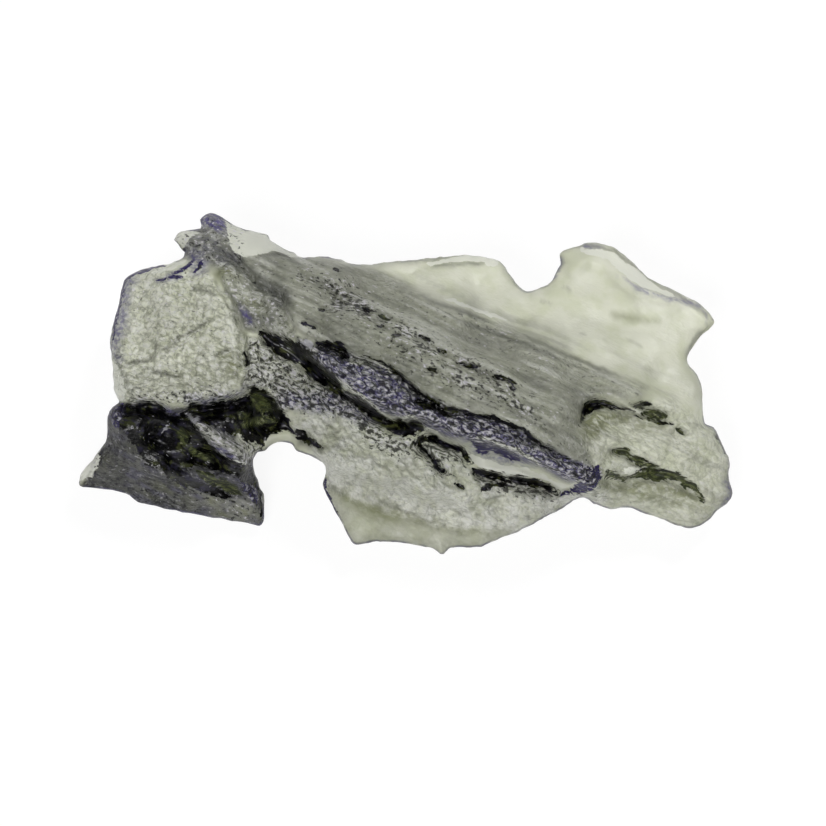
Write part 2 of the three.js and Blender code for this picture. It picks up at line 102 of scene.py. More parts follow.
# Studio: places and widths in metres, powers in watts
TABLE_HALF = 1.5
TABLE_DROP = 0.02 * MM  # keeps the table's surface and the stone's flat spot apart
DOME_STRENGTH = 0.2
LAMPS = (
    ("light_behind", (0.22, 0.26, 0.42), 0.14, 1.7),
    ("light_before", (-0.12, -0.3, 0.36), 0.2, 1.9),
)

# Camera, in millimetres: how wide its picture is at the stone, the place on the stone in its middle and
# that place's height above the table, then the lens and its sensor
PICTURE_WIDTH = 41.3
PICTURE_MIDDLE = (0.4, -1.55)
MIDDLE_HEIGHT = 4.0
LENS = 400.0
SENSOR = 36.0

# The stations run from the left tip to the right tip: the points of the far outline since the station
# before, a point on the shoulder, the spine and the hip, and the points of the near outline.
STATIONS = [
    ([(-14.65, 0.9)], (-14.65, 0.9), (-14.65, 0.9), (-14.65, 0.9), [(-14.65, 0.9)]),
    ([(-14.8, 2.1), (-14.55, 3.35)], (-13.85, 3.1), (-13.7, -0.6), (-14, -0.8),
     [(-14.55, -0.3), (-14.3, -1.0)]),
    ([(-14.3, 4.5), (-14.1, 5.2)], (-13.25, 4.5), (-13.2, -0.95), (-14.1, -1.3),
     [(-14.65, -1.25), (-14.85, -1.65)]),
    ([(-13.5, 5.6), (-12.8, 5.8)], (-12.35, 4.85), (-12.4, -1.05), (-13.4, -2.1),
     [(-14.9, -2.6), (-15.1, -3.15)]),
    ([(-11.9, 5.95)], (-11.35, 4.85), (-11.6, -1.05), (-13.5, -3.3), [(-16.1, -4.4), (-16.35, -4.95)]),
    ([(-11.2, 6.25), (-11.1, 6.75)], (-10.5, 5.6), (-10.9, -1.15), (-12.4, -4),
     [(-16.25, -5.25), (-15.45, -5.3), (-14.1, -5.55)]),
    ([(-11.55, 7.05), (-11.6, 7.25), (-11.3, 7.6)], (-10.25, 6.6), (-10.25, -1.25), (-11.1, -4.6),
     [(-13.25, -6.05), (-12.35, -6.25)]),
    ([(-10.3, 7.75), (-10.3, 8.2), (-9.8, 8.55)], (-9.6, 6.85), (-9.5, -1.15), (-9.85, -5.1),
     [(-11.0, -6.55), (-9.55, -6.8)]),
    ([(-9.2, 8.3), (-8.3, 7.75)], (-8.5, 6.6), (-8.85, -1), (-8.85, -5.3), [(-8.7, -6.95), (-7.8, -7.1)]),
    ([(-7.05, 7.45)], (-7.15, 6.0), (-8.1, -0.5), (-8.25, -4.6), [(-7.15, -7.1), (-7.05, -5.85)]),
    ([(-6.7, 7.05)], (-6.5, 5.6), (-7.4, 0.7), (-7.85, -3.1), [(-7.35, -5.05), (-7.6, -4.2)]),
    ([(-5.75, 6.6)], (-5.65, 5.35), (-6.7, 1.7), (-7.2, -2.4), [(-7.45, -3.6), (-7.0, -3.4)]),
    ([(-5.2, 6.3)], (-5.1, 5.1), (-5.9, 1.95), (-6.3, -2.1), [(-6.55, -3.05), (-5.75, -3.05)]),
    ([(-4.05, 6.3)], (-4.15, 5.0), (-5, 1.25), (-5.3, -2.1), [(-5.4, -3.45), (-4.75, -3.7)]),
    ([(-3.25, 6.15)], (-3.25, 4.85), (-4.05, 0.4), (-3.9, -2.9), [(-4.1, -4.05), (-3.95, -4.6)]),
    ([(-2.3, 5.9)], (-2.25, 4.6), (-3.15, -0.2), (-3.05, -3.9), [(-4.1, -5.2), (-3.85, -5.75)]),
    ([(-0.2, 6.1)], (-1.0, 4.5), (-2, -1.15), (-2, -4.9), [(-3.15, -7.05), (-2.55, -8.1)]),
    ([(1.8, 6.3)], (0.75, 4.35), (-0.25, -1.8), (-0.5, -5.6), [(-1.6, -8.0), (-0.6, -8.0)]),
    ([(2.75, 6.4), (3.75, 6.35)], (2.5, 4.1), (1.25, -2.4), (1.25, -6.3), [(1.15, -8.25), (1.85, -8.6)]),
    ([(4.45, 6.2), (4.85, 6.0)], (4.0, 3.85), (3, -2.95), (3, -6.4), [(2.35, -8.3), (3.65, -8.25)]),
    ([(5.25, 5.45), (5.65, 4.85)], (5.0, 3.2), (4.65, -3.25), (4.7, -6), [(4.4, -7.95), (5.35, -7.6)]),
    ([(6.15, 4.6), (6.65, 4.7)], (6.25, 2.85), (6, -3.85), (6.2, -5.7), [(6.1, -7.25), (7.0, -6.75)]),
    ([(7.3, 5.05), (7.8, 5.9)], (7.75, 3.35), (7.35, -4.4), (7.7, -5.35), [(7.75, -6.4), (8.55, -5.85)]),
    ([(7.85, 6.5), (8.6, 6.85), (9.45, 7.05)], (9.25, 4.6), (8.6, -4.45), (8.95, -5.25),
     [(9.05, -5.8), (9.55, -6.1)]),
    ([(10.25, 6.9), (10.95, 6.5)], (10.35, 4.1), (9.6, -4.05), (10.25, -5.3),
     [(10.25, -6.35), (11.15, -6.3)]),
    ([(11.45, 6.05), (12.3, 5.25)], (11.5, 3.35), (10.4, -3.65), (11.5, -5.5),
     [(11.95, -6.55), (12.7, -6.8)]),
    ([(13.7, 4.55), (14.65, 4.05)], (12.75, 2.35), (11.15, -3.35), (12.5, -5.7),
     [(13.5, -7.15), (14.3, -7.3)]),
    ([(15.25, 3.5), (15.55, 3.05)], (13.35, 1.6), (11.75, -3.15), (13.35, -5.65),
     [(15.05, -7.05), (15.5, -6.55)]),
    ([(15.25, 2.65), (14.85, 2.3)], (13.5, 1.0), (12.15, -3.05), (14.15, -5.4), [(16.15, -6.0)]),
    ([(14.3, 1.55), (14.15, 1.0)], (13.5, 0.2), (12.5, -3), (14.5, -5), [(16.4, -5.5)]),
    ([(14.55, 0.5), (14.85, -0.15)], (13.75, -0.65), (12.85, -3.05), (14.75, -4.65), [(16.2, -4.8)]),
    ([(14.9, -1.1), (15.0, -2.0)], (14.0, -1.65), (13.5, -3.15), (15, -4.15), [(16.25, -4.0)]),
    ([(15.5, -2.35), (15.8, -2.95), (16.1, -3.5)], (16.1, -3.5), (16.1, -3.5), (16.1, -3.5),
     [(16.1, -3.5)]),
]

# The broad form: across, up, height of the top and height of the underside, at places over the stone.
BLOCK_HEIGHTS = [
    (-14.0, 4.6, 5.0, 2.4), (-14.0, 2.1, 5.2, 2.6), (-14.0, -0.15, 5.5, 2.8), (-11.25, 4.6, 6.1, 3.1),
    (-11.25, 2.1, 6.3, 3.1), (-11.25, -0.15, 6.5, 3.1), (-8.5, 4.1, 6.5, 2.6), (-8.5, 1.6, 6.5, 2.6),
    (-8.5, -0.15, 6.3, 2.6),
]
FOOT_HEIGHTS = [
    (-14.25, -1.5, 5.9, 3.3), (-12.75, -1.65, 6.1, 2.8), (-10.25, -1.65, 6.1, 2.8), (-8.5, -1.4, 5.9, 2.6),
    (-14.75, -3.4, 3.7, 1.7), (-12.75, -3.4, 4.1, 1.3), (-10.25, -3.65, 3.9, 0.7), (-8.0, -3.65, 4.8, 2.2),
    (-16.0, -5.0, 1.7, 1.0), (-13.75, -5.4, 1.5, 0.2), (-11.25, -6.15, 1.3, 0.0), (-8.75, -6.65, 1.1, -0.2),
    (-7.5, -6.65, 1.1, -0.2), (-7.5, -5.4, 2.6, 0.2),
]
KNOB_HEIGHTS = [
    (-9.8, 8.1, 5.9, 3.9), (-11.0, 7.35, 5.7, 4.1), (-10.25, 6.6, 6.1, 3.5), (-8.25, 7.1, 6.1, 3.5),
    (-7.0, 6.6, 6.3, 3.3), (-8.75, 5.1, 6.8, 2.4), (-5.75, 5.85, 6.8, 2.8), (-3.75, 5.5, 6.9, 2.8),
]
RIDGE_HEIGHTS = [
    (-8.75, 6.0, 6.8, 2.8), (-5.25, 4.1, 7.8, 1.3), (-2.25, 2.6, 8.6, 0.5), (0.75, 1.35, 8.9, 0.2),
    (3.75, -0.15, 8.7, 0.2), (6.75, -1.65, 7.8, 0.5), (9.0, -3.15, 6.8, 0.9), (-5.25, 1.85, 7.6, 1.1),
    (-2.25, 0.35, 7.8, -0.3), (0.75, -0.9, 7.6, -0.5), (3.75, -1.9, 7.4, -0.4), (6.75, -3.4, 6.5, 0.2),
    (9.0, -4.4, 5.7, 0.9),
]
APRON_HEIGHTS = [
    (-7.0, 0.85, 5.7, 2.2), (-5.75, -0.4, 5.5, 1.7), (-6.5, -2.65, 3.9, 2.6), (-3.25, -1.9, 5.0, 0.7),
    (-1.25, -2.9, 5.0, -0.1), (1.25, -3.9, 4.7, 0.0), (3.75, -5.15, 3.9, 0.3), (6.25, -5.65, 3.5, 1.0),
    (-2.75, -6.9, 2.4, 1.0), (-0.25, -7.15, 2.0, 0.7), (2.25, -7.65, 1.5, 0.2), (4.75, -6.9, 2.0, 0.5),
    (7.25, -6.15, 2.8, 1.3),
]
SHEET_HEIGHTS = [
    (-1.25, 5.35, 5.9, 3.9), (1.75, 5.35, 5.5, 3.7), (4.25, 5.6, 5.0, 3.7), (1.75, 3.6, 6.8, 3.3),
    (4.75, 2.6, 6.1, 3.7), (6.25, 3.85, 5.2, 3.9), (7.75, 3.1, 5.3, 3.8), (8.5, 6.1, 4.8, 3.7),
    (10.25, 5.85, 4.7, 3.5), (10.75, 3.6, 5.0, 3.5), (12.75, 3.1, 4.8, 3.3), (14.75, 3.35, 4.4, 3.5),
    (11.75, 1.6, 5.5, 3.1), (13.75, 0.6, 4.8, 3.1), (9.25, 1.1, 6.1, 2.8), (6.75, 1.6, 7.0, 2.4),
]
LOBE_HEIGHTS = [
    (10.75, -0.4, 6.3, 1.7), (13.25, -0.9, 5.2, 2.2), (9.75, -2.4, 5.7, 0.9), (11.75, -2.65, 5.2, 1.1),
    (14.25, -2.9, 4.6, 1.5), (15.75, -3.9, 3.5, 1.7), (10.75, -4.15, 5.0, 0.7), (12.75, -4.9, 4.1, 0.7),
    (14.75, -5.9, 3.1, 0.7), (15.75, -5.4, 2.6, 1.1), (10.75, -5.65, 3.3, 0.9), (13.25, -6.65, 2.2, 0.5),
]
HEIGHTS = np.array(
    BLOCK_HEIGHTS + FOOT_HEIGHTS + KNOB_HEIGHTS + RIDGE_HEIGHTS + APRON_HEIGHTS + SHEET_HEIGHTS + LOBE_HEIGHTS
)

# Lines on the stone, each followed by ledges, furrows or tints.
CLIFF = [
    (-7.15, 2.6), (-6.05, 2.1), (-5.25, 1.5), (-4.15, 0.5), (-3.25, -0.1), (-2.35, -0.9), (-1.35, -1.6),
    (-0.1, -1.85), (0.85, -1.9), (1.25, -2.4), (2.05, -2.75), (2.85, -3.0), (3.45, -2.9), (4.65, -3.25),
    (5.85, -3.8), (7.0, -4.4), (7.75, -4.75), (8.75, -5.15), (9.6, -5.0),
]
RIB_LINE = [
    (-5.3, 2.05), (-4.3, 1.8), (-3.45, 1.75), (-2.9, 1.5), (-2, 1.15), (-1.2, 0.9), (-0.3, 0.4),
    (0.7, -0.45), (2, -1.2), (3.35, -1.7), (5.05, -2.15), (6.5, -2.9), (7.95, -3.75), (9.05, -4.25),
]
STRIP_EDGE = [(3.25, -4.3), (4, -4.6), (4.8, -4.65), (6, -4.9), (7.25, -5.2), (7.95, -5.5)]
BULB_LINE = [
    (-9.2, 6.8), (-8.3, 6.1), (-7.7, 5.55), (-7.4, 4.95), (-6.75, 4.65), (-6.2, 4.45), (-5.95, 3.9),
    (-5.9, 3.35), (-5.55, 2.85), (-5.4, 2.1),
]
BLOCK_LINE = [
    (-9.65, 5.75), (-9, 4.75), (-8.4, 3.7), (-8.05, 2.65), (-7.9, 1.85), (-7.75, 0.7), (-8.25, -0.5),
]
FOOT_BROW = [
    (-14.75, -1.15), (-13.5, -1), (-12.3, -1.05), (-11.65, -1.35), (-10.8, -1.3), (-9.9, -1.15),
    (-9, -1.05), (-8.25, -0.65), (-7.75, -0.5), (-6.8, -1.0),
]
SHEET_LINE = [
    (-3, 6), (-1.25, 5.5), (0.95, 4.35), (2.4, 3.75), (4.55, 3.05), (6.5, 2.05), (7.45, 1.6), (9.65, 0.6),
    (12.1, -0.25), (13.3, -0.6), (14.85, -1.9),
]
SCOOP_BROW = [
    (8.6, -2.5), (8.7, -2.05), (8.8, -1.45), (9.25, -1), (9.85, -0.9), (10.5, -1.05), (11, -1.3),
    (11.6, -1.2), (12.7, -1.45), (13.4, -2),
]
LOBE_BROW = [(10.05, -3.3), (10.65, -3.35), (11.1, -3.5), (11.45, -3.85), (12.15, -4.2), (12.95, -4.4)]
LOW_BROW = [
    (9.6, -4.6), (10.25, -4.8), (11, -4.85), (11.7, -4.6), (12.95, -4.5), (14.25, -5.15), (15, -6.05),
]
UPPER_FURROW = [
    (-4.35, 4.6), (-3, 3.85), (-1.25, 3.2), (0.35, 2.3), (1.9, 1.35), (3.35, 0.6), (4.8, 0), (5.95, -0.45),
]
MIDDLE_FURROW = [
    (-1.75, 2.35), (-0.5, 1.75), (1.15, 0.6), (2.75, -0.1), (4.45, -0.6), (6, -1.3), (7.15, -2.15),
]
TOP_FURROW = [(-5.65, 5.5), (-4.25, 5), (-3, 4.5), (-1.65, 3.85)]
FINE_GROOVE = [(-0.25, 4.5), (2.25, 3.5), (4.75, 2.35), (7.75, 1.1), (10.75, 0.1), (12.75, -0.8)]
GASH_ONE = [(0.5, -3), (1.05, -3.5), (1.65, -4.2), (2.05, -4.65)]
GASH_TWO = [(1.55, -2.9), (2.35, -3.2), (2.85, -3.65), (3.3, -4.2)]
APRON_FOLD = [
    (-3.6, -5.35), (-2.75, -5.65), (-2, -5.95), (-0.95, -6.3), (0, -6.65), (1.8, -7.25), (3.25, -7.5),
]
SMALL_FOLD = [(3.6, -5.75), (4.2, -5.35), (5.3, -5.3), (6.25, -5.5)]
NOTCH = [(13.3, -2.7), (13.7, -2.35), (14.05, -2.7)]
LIP_INNER = [
    (7.85, 6), (8.5, 5.7), (9.25, 6.3), (10, 6), (10.75, 5.35), (11.7, 4.75), (12.95, 4.35), (14.5, 3.95),
    (15.45, 3.15),
]
RING_ONE = [(-8.2, 1.8), (-7.95, 1.45), (-7.85, 1), (-7.95, 0.45)]
RING_TWO = [(-8.45, 1.65), (-8.25, 1.3), (-8.2, 0.8), (-8.35, 0.3)]
SADDLE_ONE = [(-12.9, 5.55), (-12, 5.95), (-11, 5.85), (-10.1, 6.2), (-9.55, 6.5)]
SADDLE_TWO = [(-12.65, 5.1), (-11.65, 5.35), (-10.75, 5.3), (-9.95, 5.7), (-9.55, 6)]
PLATE_EDGE = [(-8.05, 6.2), (-7.15, 6.45), (-6.25, 6.45), (-5.25, 6.4), (-4, 6.2), (-2.55, 5.85)]
FOOT_RIB = [
    (-10.8, -1.4), (-10.35, -1.95), (-9.9, -2.45), (-9.2, -3), (-8.35, -3.35), (-7.9, -3.7),
    (-7.6, -4.25),
]
FOOT_EDGE = [(-14.4, -1.8), (-13.25, -3.65), (-12.1, -4.65), (-10.35, -5.5), (-8.3, -5.95)]
FOOT_STREAK_ONE = [(-13.1, -2.4), (-12.35, -3.25), (-11.5, -3.8), (-10.25, -4.4)]
FOOT_STREAK_TWO = [(-11.5, -2.7), (-10.5, -3.5), (-9.35, -4.2), (-8.25, -4.9), (-7.65, -5.6)]
FOOT_STREAK_THREE = [(-12, -4), (-10.8, -4.5), (-9.5, -5.1), (-8.3, -5.75)]

# Ledges: line, rise behind it, how far the rise reaches back, depth and width of the groove at its foot.
LEDGES = [
    (CLIFF, 0.9, 2.2, 1.1, 0.40),
    (RIB_LINE, 0.45, 1.6, 0.5, 0.24),
    (STRIP_EDGE, 0.6, 0.9, 0.6, 0.28),
    (BULB_LINE, 0.4, 1.2, 0.45, 0.24),
    (BLOCK_LINE, 0.5, 1.0, 0.3, 0.26),
    (FOOT_BROW, 0.5, 1.2, 1.2, 0.40),
    (SHEET_LINE, -0.35, 1.6, 0.0, 0.40),
    (SCOOP_BROW, 0.45, 1.0, 0.7, 0.30),
    (LOBE_BROW, 0.3, 0.9, 0.45, 0.26),
    (LOW_BROW, 0.35, 0.9, 0.5, 0.30),
]

# Ribs: line, rise (a furrow where it is negative) and half width.
RIBS = [
    (FOOT_RIB, 0.8, 0.36),
    (FOOT_EDGE, 0.5, 0.6),
    (LIP_INNER, 0.3, 0.35),
    (UPPER_FURROW, -0.30, 0.26),
    (MIDDLE_FURROW, -0.14, 0.22),
    (TOP_FURROW, -0.10, 0.3),
    (FINE_GROOVE, -0.12, 0.16),
    (GASH_ONE, -0.5, 0.25),
    (GASH_TWO, -0.35, 0.2),
    (APRON_FOLD, -0.22, 0.2),
    (SMALL_FOLD, -0.2, 0.18),
    (NOTCH, -0.3, 0.2),
    (RING_ONE, -0.14, 0.1),
    (RING_TWO, -0.1, 0.1),
    (SADDLE_ONE, 0.18, 0.16),
    (SADDLE_TWO, -0.2, 0.16),
    (PLATE_EDGE, -0.3, 0.2),
    (FOOT_STREAK_ONE, -0.35, 0.28),
    (FOOT_STREAK_TWO, 0.25, 0.25),
    (FOOT_STREAK_THREE, -0.3, 0.2),
]

# Hollows: middle, radii along and across, turn in degrees and depth.
HOLLOWS = [
    ((-12.0, -2.5), (1.5, 1.0), -25, 1.1),
    ((-9.7, -4.1), (1.7, 0.9), -20, 1.3),
    ((-7.1, -1.6), (1.1, 1.2), 0, 1.6),
    ((11.1, -2.1), (2.7, 1.1), -12, 0.55),
]
UNDER_HOLLOWS = [
    ((-11.5, 2.0), (2.6, 2.2), 10, 0.7),
    ((-3.6, 3.4), (2.4, 1.1), -28, 0.8),
    ((4.2, 3.6), (4.6, 0.9), -26, 0.5),
    ((10.8, 3.8), (2.0, 1.3), -35, 0.5),
    ((11.4, -1.4), (3.2, 1.0), -24, 0.7),
    ((-5.6, -0.9), (1.6, 1.2), 0, 0.6),
]

# Closed outlines of the stone's areas, which differ in grain and colour.
BLOCK_AREA = [
    (-13.95, 5.35), (-12.75, 5.8), (-11, 5.5), (-10, 5.5), (-9.15, 4.6), (-8.35, 3.5), (-7.95, 2.35),
    (-7.75, 1.1), (-8.25, -0.3), (-10.25, -0.9), (-12.75, -1), (-14.35, -0.9), (-14.75, 0.6), (-15.2, 2.1),
    (-14.65, 4.2),
]
FOOT_AREA = [
    (-15.2, -0.9), (-13.5, -1), (-11.75, -1.3), (-10.25, -1.15), (-8.5, -0.9), (-8.25, -2.9), (-7.35, -4.2),
    (-6.8, -7.4), (-8.25, -7.4), (-12.3, -6.7), (-14.15, -6.0), (-16.2, -5.5), (-15.6, -4.4), (-15.1, -3.0),
]
FACET_AREA = [
    (-14.95, -1.25), (-13.9, -2.25), (-13.1, -3.65), (-12.1, -4.65), (-10.35, -5.5), (-8.3, -5.95),
    (-7.25, -6.3), (-7.0, -7.4), (-8.3, -7.4), (-12.3, -6.7), (-14.15, -6.0), (-16.6, -5.6), (-15.4, -4.35),
    (-15.2, -2.6),
]
KNOB_AREA = [
    (-12, 7.5), (-10.5, 8.9), (-9.2, 8.9), (-8.25, 8), (-8.25, 6.6), (-8.25, 6), (-9, 5.7), (-10.25, 6),
    (-11.25, 6.5),
]
RIDGE_AREA = [
    (-8.7, 6.2), (-7.15, 6.6), (-5.25, 6.6), (-3, 6), (-1.25, 5.5), (0.95, 4.35), (2.4, 3.75), (4.55, 3.05),
    (6.5, 2.05), (7.45, 1.6), (9.65, 0.6), (12.1, -0.25), (11.75, -0.9), (9.75, -0.8), (8.85, -1.15),
    (8.55, -2.4), (9.35, -4.3), (7.95, -3.75), (6.5, -2.9), (5.05, -2.15), (3.35, -1.7), (2, -1.2),
    (0.7, -0.45), (-0.3, 0.4), (-2, 1.15), (-3.45, 1.75), (-5, 2.05), (-5.45, 2.85), (-5.95, 3.9),
    (-6.75, 4.65), (-7.7, 5.55),
]
RIB_AREA = [
    (-5.3, 2.05), (-3.45, 1.75), (-2, 1.15), (-0.3, 0.4), (0.7, -0.45), (2, -1.2), (3.35, -1.7),
    (5.05, -2.15), (6.5, -2.9), (7.95, -3.75), (9.35, -4.3), (9.4, -5.1), (7.75, -4.75), (5.85, -3.8),
    (3.45, -2.9), (1.25, -2.4), (-0.1, -1.85), (-1.35, -1.6), (-3.25, -0.1), (-5.25, 1.5),
]
BUMPY_AREA = [
    (-7.75, 2.1), (-7.15, 2.1), (-6, 1.2), (-4.5, 0.2), (-3, -0.8), (-1, -1.9), (-1.25, -2.5), (-3.25, -1.5),
    (-4.25, -1), (-5.25, -1), (-6, -1.5), (-7, -0.4), (-7.9, -0.2), (-7.95, 1.1),
]
BULB_AREA = [
    (-9.5, 6), (-8.3, 6.0), (-7.5, 5.1), (-6.2, 4.4), (-5.9, 3.4), (-5.35, 2.1), (-6.2, 2.0), (-7.2, 2.5),
    (-7.9, 2.6), (-8.4, 3.7), (-9, 4.75),
]
APRON_AREA = [
    (-5.25, -1), (-4.15, -1), (-3, -1.5), (-1.25, -2.4), (0.5, -2.9), (2.5, -3.3), (3.25, -4.3), (4.8, -4.8),
    (7.25, -5.35), (9.25, -4.9), (10.25, -5.9), (6.75, -7.4), (1.75, -9), (-3, -8.7), (-4.4, -5.9),
    (-4.2, -4.4), (-4.6, -3.15), (-5.65, -2.3),
]
APRON_HEM = [
    (-4.3, -5.3), (-3.3, -5.5), (-2, -6.05), (0, -6.7), (1.8, -7.3), (3.6, -7.5), (5.4, -7.3), (5.4, -8.2),
    (1.75, -9), (-3, -8.7),
]
SHEET_AREA = [
    (-3, 6), (-2, 7), (1.25, 7), (4.75, 6.9), (5.75, 4.7), (7, 4.6), (7.3, 5.85), (7.5, 7.5), (10.75, 7.6),
    (16.5, 3.2), (14.25, 1.6), (15.7, -1.9), (13.3, -0.6), (12.1, -0.25), (9.65, 0.6), (7.45, 1.6),
    (6.5, 2.05), (4.55, 3.05), (2.4, 3.75), (0.95, 4.35), (-1.25, 5.5),
]
LOBE_AREA = [
    (8.6, -2.5), (8.8, -1.45), (9.75, -0.9), (11.6, -1.1), (13.3, -0.8), (14.85, -1.9), (16.4, -2.9),
    (17, -5.4), (15, -8), (12.25, -7.5), (9.75, -6.3), (9, -4.9),
]

# Near-black painted shade in the crevices and hollows, drawn as closed outlines.
DARK_AREAS = {
    "rib_pits": [
        (0.4, -0.9), (0.9, -0.85), (1.4, -1.1), (1.9, -1.3), (2.3, -1.6), (2.4, -1.85), (1.9, -1.7),
        (1.5, -1.45), (1, -1.35), (0.6, -1.15),
    ],
    "scoop_upper": [(11.25, -1.1), (11.7, -0.95), (12.25, -1.05), (12.4, -1.25), (11.9, -1.25), (11.5, -1.3)],
    "bay_edge": [
        (-5.6, -2.35), (-5.1, -2.4), (-4.75, -2.65), (-4.4, -3), (-4.1, -3.4), (-4.45, -3.3), (-4.85, -3.05),
        (-5.3, -2.85),
    ],
    "crevice": [
        (-7.25, 2.6), (-6.8, 2.45), (-6.35, 2.25), (-5.8, 2.15), (-5.5, 2.05), (-5.1, 1.8), (-4.7, 1.55),
        (-4.35, 1), (-3.9, 0.65), (-3.5, 0.35), (-3.15, -0.1), (-3.1, -0.4), (-2.6, -0.55), (-2.15, -0.85),
        (-1.7, -1.15), (-1.35, -1.5), (-0.85, -1.8), (-0.2, -1.85), (0.15, -2), (0.55, -1.85), (0.95, -2),
        (1, -2.3), (0.9, -2.5), (0.55, -2.6), (0.15, -2.7), (-0.25, -2.75), (-0.8, -2.45), (-1.2, -2.05),
        (-1.65, -1.95), (-2.15, -1.5), (-2.6, -1.25), (-3.1, -0.85), (-3.5, -0.65), (-3.85, -0.35),
        (-4.25, -0.1), (-4.6, 0.1), (-4.85, 0.45), (-5.25, 0.8), (-5.7, 1), (-6.2, 1.2), (-6.55, 1.55),
        (-6.95, 1.95), (-7.25, 2.25),
    ],
    "crevice_right": [
        (0.75, -2.7), (1.3, -2.55), (1.7, -2.75), (2.05, -3), (2.45, -3.1), (2.75, -3.15), (3.05, -3.4),
        (3.4, -4.1), (3.1, -3.95), (2.8, -3.6), (2.45, -3.4), (1.95, -3.35), (1.5, -3.15), (1.1, -2.95),
        (0.6, -3.15), (0.15, -3.4), (0.4, -3),
    ],
    "gash": [
        (0.6, -3), (0.95, -3.2), (1.3, -3.6), (1.7, -4.1), (2.15, -4.55), (1.95, -4.7), (1.5, -4.3),
        (1.1, -3.75), (0.7, -3.4),
    ],
    "strip_shadow": [
        (3.3, -4.3), (3.9, -4.35), (4.45, -4.5), (5.1, -4.7), (5.65, -4.65), (6.2, -4.8), (6.8, -4.9),
        (7.25, -5.15), (7.7, -5.45), (7.65, -5.65), (7.25, -5.45), (6.85, -5.35), (6.3, -5.25),
        (5.8, -5.15), (5.1, -5), (4.45, -4.9), (3.75, -4.75), (3.35, -4.6),
    ],
    "foot_right": [
        (-10.35, -3.05), (-9.55, -3.6), (-8.7, -4.0), (-7.8, -4.15), (-7.35, -4.65), (-7.35, -5.25),
        (-8.0, -4.85), (-8.7, -4.5), (-9.55, -4.25), (-10.2, -4.1), (-10.65, -3.8),
    ],
    "rib_head": [
        (-4.45, 1.95), (-3.75, 2.05), (-3.2, 1.95), (-2.9, 1.65), (-2.75, 1.2), (-3.1, 1.1), (-3.3, 1.4),
        (-3.75, 1.6), (-4.3, 1.65),
    ],
    "foot_hollow": [
        (-13.95, -1.2), (-12.7, -0.95), (-12.15, -1.15), (-11.9, -1.45), (-11.4, -1.65), (-10.95, -1.45),
        (-10.65, -1), (-10.15, -1.15), (-9.55, -1.05), (-9.05, -0.85), (-8.7, -1.35), (-8.95, -1.85),
        (-8.3, -2.05), (-8.05, -2.45), (-8.6, -2.75), (-9.05, -2.45), (-9.5, -2.2), (-10.15, -2.05),
        (-10.45, -2.1), (-9.9, -2.95), (-9.15, -3.6), (-8.3, -4), (-7.65, -4.15), (-7.35, -4.75),
        (-7.4, -5.3), (-7.95, -5.1), (-8.3, -4.75), (-9.05, -4.6), (-9.9, -4.35), (-10.6, -4.15),
        (-10.85, -4.35), (-10.55, -4.85), (-9.8, -5.1), (-9.15, -5.4), (-8.65, -5.75), (-9.05, -5.9),
        (-9.7, -5.65), (-10.45, -5.4), (-11.15, -5.2), (-11.8, -4.85), (-12.15, -4.35), (-12.7, -4.35),
        (-13.1, -3.8), (-13.5, -3.3), (-13.85, -2.75), (-14.2, -2.1),
    ],
    "cave": [
        (-8.95, -0.95), (-8.3, -0.8), (-7.75, -0.55), (-7.9, -0.15), (-7.45, -0.25), (-6.85, -0.45),
        (-6.35, -1.15), (-5.95, -1.65), (-5.65, -2.2), (-5.45, -2.6), (-5.95, -2.4), (-6.75, -2.65),
        (-7, -3), (-7.15, -3.55), (-7.25, -3.1), (-7.9, -3), (-8.25, -2.65), (-8.05, -2.95), (-8.3, -2.3),
        (-8.9, -2.05),
    ],
    "scoop_crescent": [
        (8.65, -2.15), (8.75, -1.45), (8.9, -1.1), (9.4, -0.85), (9.95, -0.85), (10.2, -1), (10.75, -1.2),
        (11.2, -1.35), (11.75, -1.6), (12.45, -1.85), (13.4, -2.1), (12.9, -2.15), (12.35, -2),
        (11.75, -1.75), (11.2, -1.5), (10.85, -1.4), (10.2, -1.3), (9.95, -1.25), (9.75, -1.4),
        (9.35, -1.45), (9.05, -1.7), (8.9, -1.95),
    ],
}
